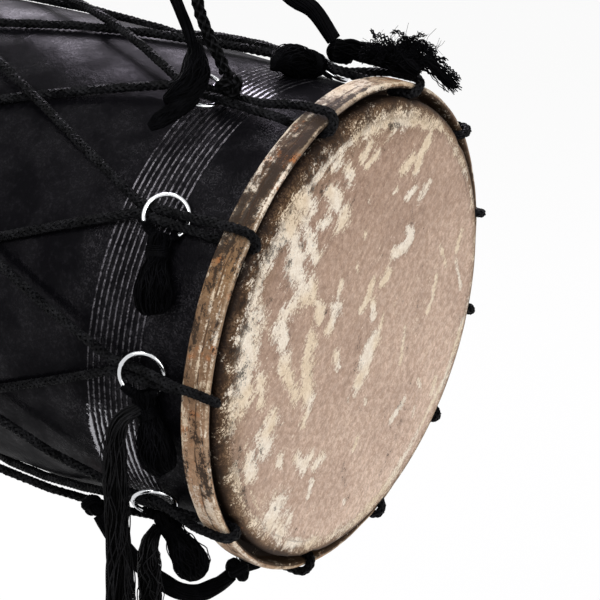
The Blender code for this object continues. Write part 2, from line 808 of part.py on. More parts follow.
def knot_on_pair(x, angle, rope_radius, radius):
    """Middle of a knot that sits on the two legs of a wrap."""
    reach = radius + ROPE_RADIUS + GAP
    beside = ROPE_RADIUS + ROPE_CLEARANCE
    return place(x, angle, rope_radius + math.sqrt(reach ** 2 - beside ** 2))


def rope_knot(head):
    """Middle of the strap rope's knot at one head; at the treble end it lies before its ring."""
    if head.side > 0:
        ring_front = TREBLE.face - ring_depth(ROPE_WRAP) + RING_RADIUS + RING_WIRE
        x = ring_front + GAP + ROPE_KNOT_RADIUS
        return knot_on_pair(x, treble_angle(ROPE_WRAP), lift(x), ROPE_KNOT_RADIUS)
    x = BASS_KNOT_DEPTH - BASS.face
    return knot_on_pair(x, bass_angle(ROPE_WRAP), bass_lift(x), ROPE_KNOT_RADIUS)


def cord_knot(head):
    """Middle of the strap cord's knot at one head; at the treble end it lies over its ring."""
    if head.side > 0:
        x = TREBLE.face - ring_depth(CORD_WRAP) + CORD_KNOT_AHEAD
        return knot_on_pair(x, treble_angle(CORD_WRAP), lift(x), CORD_KNOT_RADIUS)
    x = BASS_KNOT_DEPTH - BASS.face
    return knot_on_pair(x, bass_angle(CORD_WRAP), bass_lift(x), CORD_KNOT_RADIUS)


def rise(start, end, bow):
    """Points between a cord's first points and the crest, on a line that bows upwards."""
    points = []
    for share in RISE_SHARES:
        points.append(start.lerp(end, share) + Vector((0.0, 0.0, 4 * share * (1 - share) * bow)))
    return points


def strap_route(treble_knot, bass_knot, knot_radius, near, bow, aside):
    """Points of a strap cord from its treble knot over the hanging point to its bass knot."""
    first = offsets(treble_knot, near)
    start = ball_exit(treble_knot, knot_radius, first[0])
    top = [Vector((CREST[0], aside, -CREST[1])), Vector((CREST_HALF, aside, 0.0)),
           Vector((-CREST_HALF, aside, 0.0)), Vector((-CREST[0], aside, -CREST[1]))]
    end = ball_exit(bass_knot, knot_radius, top[-1])
    down = [top[-1].lerp(end, share) for share in FALL_SHARES]
    return [start, *first, *rise(first[-1], top[0], bow), *top, *down, end]


def make_strap(rope, yarn):
    """Make the strap: a braided rope, a soft cord and a yarn strand that ends in a hank."""
    rope_knots = [rope_knot(TREBLE), rope_knot(BASS)]
    cord_knots = [cord_knot(TREBLE), cord_knot(BASS)]
    for head, middle in zip((TREBLE, BASS), rope_knots):
        add_ball(f"strap_rope_{head.name}_knot", middle, ROPE_KNOT_RADIUS, rope)
    for head, middle in zip((TREBLE, BASS), cord_knots):
        add_ball(f"strap_cord_{head.name}_knot", middle, CORD_KNOT_RADIUS, yarn)
    route = strap_route(*rope_knots, ROPE_KNOT_RADIUS, ROPE_NEAR, ROPE_BOW, ROPE_ASIDE)
    make_curve("strap_rope", smooth_route(route, STRAP_ROPE_SPACING), STRAP_ROPE_RADIUS, rope)
    route = strap_route(*cord_knots, CORD_KNOT_RADIUS, CORD_NEAR, CORD_BOW, CORD_ASIDE)
    make_curve("strap_cord", smooth_route(route, STRAP_CORD_SPACING), STRAP_CORD_RADIUS, yarn)
    hank_route = over_barrel(STRAP_HANK)
    near = offsets(hank_route[0], YARN_NEAR)
    crest = [Vector((CREST_HALF, YARN_ASIDE, 0.0)), Vector((-CREST_HALF, YARN_ASIDE, 0.0))]
    strand = smooth_route([*near, *rise(near[-1], crest[0], YARN_BOW), *crest], STRAP_YARN_SPACING)
    make_curve("strap_yarn", strand, STRAP_YARN_RADIUS, yarn)
    hank = make_tassel("strap_yarn_hank", hank_route, HANK_RADIUS, STRAP_HANK_SHAPE, yarn)
    deeper = strand[0] + (strand[0] - strand[1]).normalized() * 2 * GAP
    socket = make_curve("strand_socket_cutter", [deeper, *strand], STRAP_YARN_RADIUS + GAP, yarn)
    subtract(hank, as_mesh(socket))


def make_binding(material):
    """Make the yarn binding round the strap's cords at the hanging point."""
    low = YARN_ASIDE - STRAP_YARN_RADIUS
    high = CORD_ASIDE + STRAP_CORD_RADIUS
    half_width = (high - low) / 2 + BINDING_RADIUS + BINDING_ROOM
    half_height = STRAP_CORD_RADIUS + BINDING_RADIUS + BINDING_ROOM
    points = []
    for index in range(BINDING_POINTS):
        turn = 2 * math.pi * index / BINDING_POINTS
        square = max(abs(math.cos(turn)), abs(math.sin(turn))) ** -BINDING_ROUNDING
        points.append(Vector((0.0, (low + high) / 2 + half_width * square * math.cos(turn),
                              half_height * square * math.sin(turn))))
    binding = make_curve("strap_binding", points, BINDING_RADIUS, material)
    binding.data.splines[0].use_cyclic_u = True
    binding.data.use_fill_caps = False


def build():
    """Build the whole drum."""
    clear_scene()
    lacquer = make_material("lacquer", (0.012, 0.011, 0.014), 0.28)
    hide = make_material("hide", (0.42, 0.32, 0.26), 0.55)
    cane = make_material("cane", (0.45, 0.30, 0.15), 0.6)
    rope = make_material("rope", (0.012, 0.012, 0.013), 0.75)
    yarn = make_material("yarn", (0.009, 0.009, 0.010), 0.9)
    chrome = make_material("chrome", (0.75, 0.76, 0.78), 0.12, 1.0)
    paste = make_material("paste", (0.05, 0.035, 0.03), 0.8)
    make_shell(lacquer)
    for head in (TREBLE, BASS):
        make_head(head, hide)
        make_hoop(head, cane)
    make_paste(paste)
    make_lacing(rope, rope)
    for index in range(WRAPS):
        make_ring(index, chrome)
        if index < len(HANK_LENGTH):
            make_hank(index, yarn)
    make_tassels(yarn)
    make_swag(yarn)
    make_strap(rope, yarn)
    make_binding(yarn)


build()
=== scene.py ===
"""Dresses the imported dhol: a two-headed barrel drum with rope lacing, tuning rings and black yarn.

Lengths are in metres and angles in degrees, from the top of the drum towards +Y. The drum's axis is
level, along X, with the treble head at +X.
"""

import logging
import math
from dataclasses import dataclass, field
from enum import Enum

import bpy
import numpy as np
from mathutils import Matrix, Vector
from mathutils.kdtree import KDTree


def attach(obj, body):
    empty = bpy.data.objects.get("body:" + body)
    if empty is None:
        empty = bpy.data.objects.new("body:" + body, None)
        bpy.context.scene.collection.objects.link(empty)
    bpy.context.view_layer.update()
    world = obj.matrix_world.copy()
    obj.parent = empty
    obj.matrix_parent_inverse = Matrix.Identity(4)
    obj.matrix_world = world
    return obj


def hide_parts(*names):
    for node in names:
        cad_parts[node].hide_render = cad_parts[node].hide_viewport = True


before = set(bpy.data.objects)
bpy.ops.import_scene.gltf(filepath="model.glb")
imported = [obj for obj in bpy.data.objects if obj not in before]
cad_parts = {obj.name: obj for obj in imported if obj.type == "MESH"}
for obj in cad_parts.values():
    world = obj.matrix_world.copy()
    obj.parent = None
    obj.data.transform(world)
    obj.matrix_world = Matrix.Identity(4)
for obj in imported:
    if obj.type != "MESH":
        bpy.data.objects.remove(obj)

logging.basicConfig(level=logging.INFO, format="%(levelname)s %(message)s")
LOG = logging.getLogger("dhol")

GAP = 0.0003


class Slot(Enum):
    """The record's material slots."""

    LACQUER = "lacquer"
    HIDE = "hide"
    CANE = "cane"
    ROPE = "rope"
    YARN = "yarn"
    CHROME = "chrome"
    PASTE = "paste"


class Socket:
    """A shader socket whose arithmetic adds Math nodes."""

    def __init__(self, tree: "NodeTree", socket: bpy.types.NodeSocket) -> None:
        """Wrap one output socket of a node tree."""
        self.tree = tree
        self.socket = socket

    def _math(self, operation: str, left: object, right: object) -> "Socket":
        """Add a Math node.

        Args:
            operation: Blender's name of the operation.
            left: A socket or a number.
            right: A socket or a number.

        Returns:
            The node's value.
        """
        return self.tree.node("ShaderNodeMath", {"operation": operation}, {0: left, 1: right})

    def __add__(self, other: object) -> "Socket":
        """Return the sum."""
        return self._math("ADD", self, other)

    def __radd__(self, other: object) -> "Socket":
        """Return the sum."""
        return self._math("ADD", other, self)

    def __sub__(self, other: object) -> "Socket":
        """Return the difference."""
        return self._math("SUBTRACT", self, other)

    def __rsub__(self, other: object) -> "Socket":
        """Return the difference, the other way round."""
        return self._math("SUBTRACT", other, self)

    def __mul__(self, other: object) -> "Socket":
        """Return the product."""
        return self._math("MULTIPLY", self, other)

    def __rmul__(self, other: object) -> "Socket":
        """Return the product."""
        return self._math("MULTIPLY", other, self)

    def __truediv__(self, other: object) -> "Socket":
        """Return the quotient."""
        return self._math("DIVIDE", self, other)

    def __pow__(self, other: object) -> "Socket":
        """Return the power."""
        return self._math("POWER", self, other)


class NodeTree:
    """A new material's node tree, made through one node method."""

    def __init__(self, name: str) -> None:
        """Make an empty material.

        Args:
            name: The material's name.
        """
        self.material = bpy.data.materials.new(name)
        self.material.use_nodes = True
        self.material.node_tree.nodes.clear()
        self.place = self.node("ShaderNodeTexCoord", {}, {}, "Object")

    def node(self, kind: str, settings: dict, inputs: dict, output: object = 0) -> Socket:
        """Add one node.

        Args:
            kind: The node's type.
            settings: Attributes that are set first; "stops" fills a ramp.
            inputs: Values or links by socket name or number.
            output: The output wanted, by name or number.

        Returns:
            The wrapped output.
        """
        made = self.material.node_tree.nodes.new(kind)
        for key, value in settings.items():
            if key == "stops":
                self._fill_ramp(made, value)
            else:
                setattr(made, key, value)
        for key, value in inputs.items():
            if isinstance(value, Socket):
                self.material.node_tree.links.new(value.socket, made.inputs[key])
            elif value is not None:
                made.inputs[key].default_value = value
        return Socket(self, made.outputs[output]) if len(made.outputs) else None

    @staticmethod
    def _fill_ramp(made: bpy.types.Node, stops: list) -> None:
        """Set a colour ramp's stops.

        Args:
            made: The ramp node.
            stops: Pairs of position and colour.
        """
        ramp = made.color_ramp
        while len(ramp.elements) > 1:
            ramp.elements.remove(ramp.elements[-1])
        for index, (position, color) in enumerate(stops):
            element = ramp.elements[0] if index == 0 else ramp.elements.new(position)
            element.position = position
            element.color = (*color, 1.0)

    def noise(self, scale: float, detail: float = 4.0, rough: float = 0.55, place: object = None) -> Socket:
        """Return a noise value.

        Args:
            scale: Its scale per metre.
            detail: Octaves.
            rough: Weight of the finer octaves.
            place: Coordinates other than the object's.

        Returns:
            A value about 0.5.
        """
        return self.node("ShaderNodeTexNoise", {}, {
            "Vector": place or self.place, "Scale": scale, "Detail": detail, "Roughness": rough})

    def stretched(self, scale: tuple, turn: tuple = (0.0, 0.0, 0.0)) -> Socket:
        """Return the object's coordinates, turned and then scaled.

        Args:
            scale: Factor along each axis.
            turn: Rotation in degrees.

        Returns:
            The new coordinates.
        """
        turned = self.node("ShaderNodeMapping", {"vector_type": "POINT"}, {
            "Vector": self.place, "Rotation": tuple(math.radians(angle) for angle in turn)})
        return self.node("ShaderNodeVectorMath", {"operation": "MULTIPLY"}, {0: turned, 1: scale})

    def step(self, value: Socket, low: float, high: float) -> Socket:
        """Return 0 below low, 1 above high, and a smooth step between.

        Args:
            value: The value to test.
            low: Start of the step.
            high: End of the step.

        Returns:
            The mask.
        """
        return self.node("ShaderNodeMapRange", {"interpolation_type": "SMOOTHSTEP"}, {
            "Value": value, "From Min": low, "From Max": high})

    def mix(self, factor: object, first: object, second: object, blend: str = "MIX") -> Socket:
        """Mix two colours.

        Args:
            factor: Share of the second colour.
            first: A colour or a socket.
            second: A colour or a socket.
            blend: Blend type.

        Returns:
            The mixed colour.
        """
        colors = [(*color, 1.0) if isinstance(color, tuple) else color for color in (first, second)]
        return self.node("ShaderNodeMix", {"data_type": "RGBA", "blend_type": blend, "clamp_factor": True},
                         {0: factor, 6: colors[0], 7: colors[1]}, 2)

    def attribute(self, name: str, output: str = "Fac") -> Socket:
        """Return a value or colour stored on the mesh."""
        return self.node("ShaderNodeAttribute", {"attribute_name": name}, {}, output)

    def bump(self, height: Socket, distance: float, strength: float = 1.0) -> Socket:
        """Return a bumped normal.

        Args:
            height: The height, about 0 to 1.
            distance: Height of 1, in metres.
            strength: Strength of the bump.

        Returns:
            The normal.
        """
        return self.node("ShaderNodeBump", {}, {"Height": height, "Distance": distance, "Strength": strength})

    def finish(self, **inputs: object) -> bpy.types.Material:
        """Add the Principled shader and the output.

        Args:
            inputs: The shader's sockets, with underscores for blanks.

        Returns:
            The finished material.
        """
        return self.output(self.shader(**inputs))

    def shader(self, **inputs: object) -> Socket:
        """Return a Principled shader; its sockets are named with underscores for blanks."""
        return self.node("ShaderNodeBsdfPrincipled", {},
                         {key.replace("_", " "): value for key, value in inputs.items()})

    def output(self, surface: Socket) -> bpy.types.Material:
        """Add the output and return the finished material."""
        self.node("ShaderNodeOutputMaterial", {}, {"Surface": surface})
        return self.material


@dataclass(frozen=True)
class LacquerFinish:
    """Black lacquer: satin, and crinkled near the hoops, where only its high grains shine; painted highlights make
    chosen groove lands glint.
    """

    dark: tuple[float, float, float] = (0.0016, 0.0015, 0.0021)
    light: tuple[float, float, float] = (0.0065, 0.0060, 0.0075)
    red: tuple[float, float, float] = (0.030, 0.006, 0.008)
    tint: tuple[float, float, float, float] = (0.95, 0.90, 1.0, 1.0)
    # Grey colour of the painted highlights on the groove lands.
    painted_glint_color: tuple[float, float, float] = (0.36, 0.36, 0.38)
    crinkle_from: float = 0.150
    crinkle_to: float = 0.190

    def build(self) -> bpy.types.Material:
        """Make the material.

        Returns:
            The finished material.
        """
        tree = NodeTree("black_lacquer")
        axis = tree.node("ShaderNodeSeparateXYZ", {}, {"Vector": tree.place}, "X")
        reach = tree.node("ShaderNodeMath", {"operation": "ABSOLUTE"}, {0: axis})
        patches = tree.step(tree.noise(15.0, 3.0), 0.38, 0.56)
        crinkle = tree.step(reach, self.crinkle_from, self.crinkle_to) * (0.45 + 0.55 * patches)
        fine = tree.noise(640.0, 3.0, 0.65)
        grain = tree.noise(230.0, 4.0, 0.6)
        broad = tree.noise(26.0, 3.0)
        height = fine * (0.25 + 1.5 * crinkle) + grain * (0.9 + 0.5 * crinkle)
        peaks = tree.step(fine * 0.65 + grain * 0.35, 0.47, 0.62)
        facet = tree.attribute("facet") * (0.10 + 0.90 * tree.step(fine * 0.5 + grain * 0.5, 0.44, 0.54))
        # Painted highlight: where the barrel marks groove lands for it, the lacquer turns grey, half metallic and
        # fully glossy, to paint bright glints.
        painted_glint = tree.step(tree.attribute("painted_glint_zone") + (fine * 0.6 + grain * 0.4 - 0.5) * 2.0, 0.45, 0.60)
        satin = tree.step(broad, 0.34, 0.66)
        gloss = (1.0 - crinkle) * (0.03 + 0.17 * satin * (0.4 + 0.6 * peaks))
        gloss = gloss + crinkle * (0.02 + 0.05 * satin + 0.24 * peaks * satin)
        gloss = gloss + facet + painted_glint
        gloss = tree.node("ShaderNodeMath", {"operation": "MINIMUM"}, {0: gloss, 1: 1.0})
        color = tree.mix(tree.step(grain, 0.5, 0.75) * 0.6, self.dark, self.light)
        tinted = tree.mix(tree.step(tree.noise(9.0, 2.0), 0.62, 0.8) * 0.4, color, self.red)
        matt = tree.shader(Base_Color=tinted, Roughness=0.6, Specular_IOR_Level=0.01)
        shine = tree.shader(Base_Color=tree.mix(painted_glint, tinted, self.painted_glint_color), Roughness=0.11 + 0.10 * broad,
                            Metallic=painted_glint * 0.5, Specular_IOR_Level=0.9, Specular_Tint=self.tint,
                            Normal=tree.bump(height, 0.00040))
        return tree.output(tree.node("ShaderNodeMixShader", {}, {0: gloss, 1: matt, 2: shine}))


@dataclass(frozen=True)
class HideFinish:
    """Worn hide: its colour, wear, stains, painted light and painted shade are kept on the mesh and broken up by noise
    here, which adds painted shade along its fold and crease lines.
    """

    name: str
    cream: tuple[float, float, float] = (0.77, 0.65, 0.49)
    chalk: tuple[float, float, float] = (0.87, 0.80, 0.69)
    dark: tuple[float, float, float] = (0.024, 0.015, 0.010)
    orange: tuple[float, float, float] = (0.34, 0.12, 0.035)
    # Colour of the painted shade along the lap's fold and the head's crease.
    fold_shade: tuple[float, float, float] = (0.045, 0.024, 0.014)
    speck: tuple[float, float, float] = (0.20, 0.15, 0.11)
    fibre_turn: float = 35.0
    roughness: float = 0.60
    fold_depth: float = 0.0118
    crease_radius: float = 0.1752

    def near(self, tree: NodeTree, place: Socket, half: float, soft: float) -> Socket:
        """Return 1 where a distance is under half a line's width, with a soft edge.

        Args:
            tree: The material's tree.
            place: Signed distance from the line's middle.
            half: Half of its width.
            soft: Width of its edge.

        Returns:
            The line's mask.
        """
        away = tree.node("ShaderNodeMath", {"operation": "ABSOLUTE"}, {0: place})
        return 1.0 - tree.step(away, half, half + soft)

    def build(self) -> bpy.types.Material:
        """Make the material.

        Returns:
            The finished material.
        """
        tree = NodeTree(self.name)
        fibres = tree.stretched((1.0, 0.22, 1.0), (-self.fibre_turn, 0.0, 0.0))
        spread = tree.attribute("band", "Color")
        band = tree.node("ShaderNodeVectorMath", {"operation": "MULTIPLY"}, {0: spread, 1: (1.0, 0.16, 1.0)})
        streak = tree.noise(330.0, 6.0, 0.70, fibres)
        broad = tree.noise(60.0, 5.0, 0.62, fibres)
        blotch = tree.noise(105.0, 6.0, 0.66)
        fine = tree.noise(640.0, 3.0, 0.75)
        cloud = tree.noise(17.0, 4.0, 0.6)
        lines = tree.noise(230.0, 5.0, 0.66, band)
        smear = tree.noise(70.0, 4.0, 0.6, band)
        lap = tree.attribute("lap")
        ragged = (streak - 0.5) * 1.6 + (broad - 0.5) * 1.5 + (blotch - 0.5) * 1.1 + (fine - 0.5) * 1.9
        patchy = (blotch - 0.5) * 1.6 + (lines - 0.5) * 2.4 + (smear - 0.5) * 1.8 + (fine - 0.5) * 1.6
        pale = tree.step(tree.attribute("pale") + ragged * (1.0 - lap) + patchy * lap, 0.37, 0.70)
        spoiled = (broad - 0.5) * 1.2 - (blotch - 0.5) * 2.0 + (cloud - 0.5) * 1.2 + (fine - 0.5) * 1.9
        marked = (lines - 0.5) * 1.9 * lap - (smear - 0.5) * 2.2 * lap
        stain = tree.step(tree.attribute("stain") + spoiled + marked, 0.40, 0.70)
        warm = tree.attribute("warm") + (tree.noise(80.0, 4.0) - 0.5) * 2.6
        mottle = tree.noise(170.0, 5.0, 0.68)
        shaded = tree.mix(tree.step(streak, 0.36, 0.66), tree.attribute("tint", "Color"), (1.22, 1.21, 1.20),
                          "MULTIPLY")
        shaded = tree.mix(tree.step(mottle, 0.60, 0.40) * 0.65, shaded, (0.66, 0.60, 0.55), "MULTIPLY")
        shaded = tree.mix(tree.step(fine, 0.60, 0.40) * 0.60, shaded, (0.62, 0.58, 0.55), "MULTIPLY")
        shaded = tree.mix(tree.step(cloud, 0.40, 0.66) * 0.6, shaded, (0.80, 0.77, 0.76), "MULTIPLY")
        shaded = tree.mix(tree.step(warm, 0.5, 0.9) * 0.75, shaded, self.orange)
        worn = tree.mix(tree.step(cloud, 0.40, 0.60), self.cream, self.chalk)
        worn = tree.mix(tree.step(fine, 0.60, 0.38) * 0.50, worn, (0.70, 0.62, 0.54), "MULTIPLY")
        worn = tree.mix(tree.step(mottle, 0.58, 0.42) * 0.35, worn, (0.76, 0.68, 0.60), "MULTIPLY")
        color = tree.mix(pale * (0.90 - 0.25 * lap), shaded, worn)
        color = tree.mix(stain * (0.88 + 0.08 * lap), color, self.dark)
        parts = [tree.node("ShaderNodeSeparateXYZ", {}, {"Vector": spread}, name) for name in "XYZ"]
        along = tree.node("ShaderNodeCombineXYZ", {}, {"Y": parts[1]})
        wander = tree.noise(24.0, 3.0, 0.55, along) - 0.5
        # Painted shade: thin dark lines along the lap's fold and the head's crease; the fold line also dips the bump.
        fold_shade = self.near(tree, parts[0] - self.fold_depth - wander * 0.0090, 0.00012, 0.0008) * lap
        fold_shade = fold_shade * tree.step(tree.noise(46.0, 3.0, 0.6, along), 0.40, 0.52)
        crease_shade = self.near(tree, parts[2] - self.crease_radius - wander * 0.0040, 0.0001, 0.0012) * (1.0 - lap)
        crease_shade = crease_shade * tree.step(cloud + (fine - 0.5) * 0.8, 0.45, 0.60)
        edge = tree.step(parts[2] + (blotch - 0.5) * 0.030, 0.1690, 0.1765) * (1.0 - lap)
        speckle = tree.step(fine * 0.6 + blotch * 0.4, 0.55, 0.48) * edge * (0.3 + 0.7 * tree.attribute("grime"))
        color = tree.mix(speckle * 0.85, color, self.speck, "MULTIPLY")
        color = tree.mix(fold_shade * 0.80 + crease_shade * 0.45, color, self.fold_shade)
        height = streak * 0.5 + fine * 0.5 + pale * 0.3 - stain * 0.15 - fold_shade * 1.2
        return tree.finish(Base_Color=color, Roughness=self.roughness + 0.2 * (fine - 0.5),
                           Specular_IOR_Level=0.10, Normal=tree.bump(height, 0.00042))


@dataclass(frozen=True)
class CaneFinish:
    """Split cane, seen only through the hide's lap."""

    dark: tuple[float, float, float] = (0.16, 0.085, 0.035)
    light: tuple[float, float, float] = (0.38, 0.24, 0.11)

    def build(self) -> bpy.types.Material:
        """Make the material.

        Returns:
            The finished material.
        """
        tree = NodeTree("split_cane")
        grain = tree.noise(300.0, 5.0, 0.6, tree.stretched((4.0, 1.0, 1.0)))
        color = tree.mix(tree.step(grain, 0.35, 0.7), self.dark, self.light)
        return tree.finish(Base_Color=color, Roughness=0.55, Normal=tree.bump(grain, 0.0002))


@dataclass(frozen=True)
class FibreFinish:
    """Black fibre of ropes and yarn, a little dusty on its high places, with painted shade in the hollows between its
    threads.
    """

    name: str
    dark: tuple[float, float, float]
    light: tuple[float, float, float]
    grain: float
    roughness: float
    specular: float

    def build(self) -> bpy.types.Material:
        """Make the material.

        Returns:
            The finished material.
        """
        tree = NodeTree(self.name)
        fine = tree.noise(self.grain, 3.0, 0.65)
        patch = tree.noise(70.0, 3.0, 0.6)
        # Painted shade: corners deep in the hollows between threads are darkened, and made rough.
        hollow = tree.step(tree.attribute("hollow"), 0.10, 0.55)
        color = tree.mix(tree.step(fine * 0.6 + patch * 0.4, 0.42, 0.66) * (1.0 - hollow), self.dark, self.light)
        color = tree.mix(hollow * 0.85, color, (0.12, 0.12, 0.12), "MULTIPLY")
        return tree.finish(
            Base_Color=color, Roughness=self.roughness + (1.0 - self.roughness) * hollow,
            Specular_IOR_Level=self.specular, Normal=tree.bump(fine, 0.0002))


@dataclass(frozen=True)
class ChromeFinish:
    """Plated wire with faint scratches and a few dull spots."""

    bright: tuple[float, float, float] = (0.66, 0.67, 0.69)
    dull: tuple[float, float, float] = (0.30, 0.28, 0.26)

    def build(self) -> bpy.types.Material:
        """Make the material.

        Returns:
            The finished material.
        """
        tree = NodeTree("plated_wire")
        spots = tree.step(tree.noise(420.0, 3.0, 0.6), 0.60, 0.72)
        scratch = tree.noise(1500.0, 2.0)
        return tree.finish(
            Base_Color=tree.mix(spots * 0.7, self.bright, self.dull), Metallic=1.0,
            Roughness=0.10 + 0.35 * spots + 0.08 * scratch, Normal=tree.bump(scratch, 0.00003))


@dataclass(frozen=True)
class PasteFinish:
    """Dried tuning paste: dark, cracked and matt."""

    dark: tuple[float, float, float] = (0.025, 0.016, 0.012)
    light: tuple[float, float, float] = (0.10, 0.07, 0.05)

    def build(self) -> bpy.types.Material:
        """Make the material.

        Returns:
            The finished material.
        """
        tree = NodeTree("dried_paste")
        cracks = tree.node("ShaderNodeTexVoronoi", {"feature": "DISTANCE_TO_EDGE"}, {
            "Vector": tree.place, "Scale": 130.0})
        dry = tree.step(cracks, 0.0, 0.12)
        color = tree.mix(dry * tree.noise(200.0), self.dark, self.light)
        return tree.finish(Base_Color=color, Roughness=0.85, Normal=tree.bump(dry, 0.0005))


@dataclass(frozen=True)
class FloorFinish:
    """Pale floor that the camera and reflections see as near-white, with the drum's shadow kept."""

    color: tuple[float, float, float] = (0.86, 0.86, 0.86)
    glow: float = 0.92

    def build(self) -> bpy.types.Material:
        """Make the material.

        Returns:
            The finished material.
        """
        tree = NodeTree("pale_floor")
        paths = [tree.node("ShaderNodeLightPath", {}, {}, name) for name in
                 ("Is Camera Ray", "Is Glossy Ray", "Is Transmission Ray")]
        seen = tree.node("ShaderNodeMath", {"operation": "MINIMUM"}, {0: paths[0] + paths[1] + paths[2], 1: 1.0})
        matt = tree.node("ShaderNodeBsdfDiffuse", {}, {"Color": (*self.color, 1.0)})
        glow = tree.node("ShaderNodeEmission", {}, {"Color": (1.0, 1.0, 1.0, 1.0), "Strength": 1.0})
        mixed = tree.node("ShaderNodeMixShader", {}, {0: seen * self.glow, 1: matt, 2: glow})
        tree.node("ShaderNodeOutputMaterial", {}, {"Surface": mixed})
        return tree.material




@dataclass(frozen=True)
class Body:
    """Sizes of the barrel, as in the part's source."""

    length: float = 0.620
    mouth: float = 0.1865
    belly: float = 0.1980
    wall: float = 0.012
    land: float = 0.026
    drop: float = 0.448

    def radius(self, x: float) -> float:
        """Return the barrel's outer radius at a place along its axis."""
        reach = min(abs(x) / (self.length / 2 - self.land), 1.0)
        return self.belly - (self.belly - self.mouth) * reach * reach

    def slope(self, x: float) -> float:
        """Return the change of the barrel's radius per length."""
        return -2 * (self.belly - self.mouth) * x / (self.length / 2 - self.land) ** 2

    @staticmethod
    def radial(angle: float) -> Vector:
        """Return the direction away from the drum's axis."""
        turn = math.radians(angle)
        return Vector((0.0, math.sin(turn), math.cos(turn)))

    @staticmethod
    def around(angle: float) -> Vector:
        """Return the direction round the drum, towards a larger angle."""
        turn = math.radians(angle)
        return Vector((0.0, math.cos(turn), -math.sin(turn)))

    def at(self, x: float, angle: float, radius: float) -> Vector:
        """Return the point of a place on the drum."""
        return Vector((x, 0.0, -self.drop)) + radius * self.radial(angle)


BODY = Body()


@dataclass(frozen=True)
class End:
    """One end of the drum: side is +1 for the treble end and -1 for the bass end."""

    name: str
    side: int
    hide: float
    lean: float
    shoulder: float = 0.006
    web_depth: float = 0.0210
    lap: float = 0.0011
    channel: float = 0.0088
    setback: float = 0.0015
    band_width: float = 0.0235
    lean_angle: float = 310.0
    core: float = 0.0024
    rope: float = 0.0037
    clearance: float = 0.0004

    @property
    def face(self) -> float:
        """Distance of the playing face from the drum's middle."""
        return BODY.length / 2 + GAP + self.hide

    @property
    def skirt(self) -> float:
        """Outer radius of the hide where it lies on the shell."""
        return BODY.mouth + GAP + self.hide

    @property
    def lap_inner(self) -> float:
        """Inner radius of the hide that is lapped round the hoop."""
        return self.skirt + self.channel

    @property
    def lap_outer(self) -> float:
        """Outer radius of the lapped hoop."""
        return self.lap_inner + 2 * self.lap + 2 * GAP + self.core

    @property
    def edge_radius(self) -> float:
        """Radius of the rounded front edge of the lapped hoop."""
        return (self.lap_outer - self.lap_inner) / 2

    @property
    def edge_depth(self) -> float:
        """Depth of the front edge's centre behind the playing face."""
        return self.setback + self.edge_radius

    @property
    def band_rear(self) -> float:
        """Depth of the lapped hoop's rear edge behind the playing face."""
        return self.setback + self.band_width

    @property
    def bend_radius(self) -> float:
        """Radius of the rope's bend round the hoop's front edge."""
        return self.edge_radius + self.rope + 2 * self.clearance

    @property
    def edge_centre(self) -> float:
        """Drum radius at the middle of the lapped hoop's wall."""
        return (self.lap_inner + self.lap_outer) / 2

    @property
    def spread(self) -> float:
        """Half the angle between the two legs of a wrap."""
        return math.degrees((self.rope + self.clearance) / self.edge_centre)

    def set_back(self, angle: float) -> float:
        """Return the extra depth of the leaning hoop at an angle."""
        return self.lean * (1 - math.cos(math.radians(angle - self.lean_angle))) / 2


TREBLE = End("treble", 1, 0.0014, 0.009)
BASS = End("bass", -1, 0.0019, 0.0)


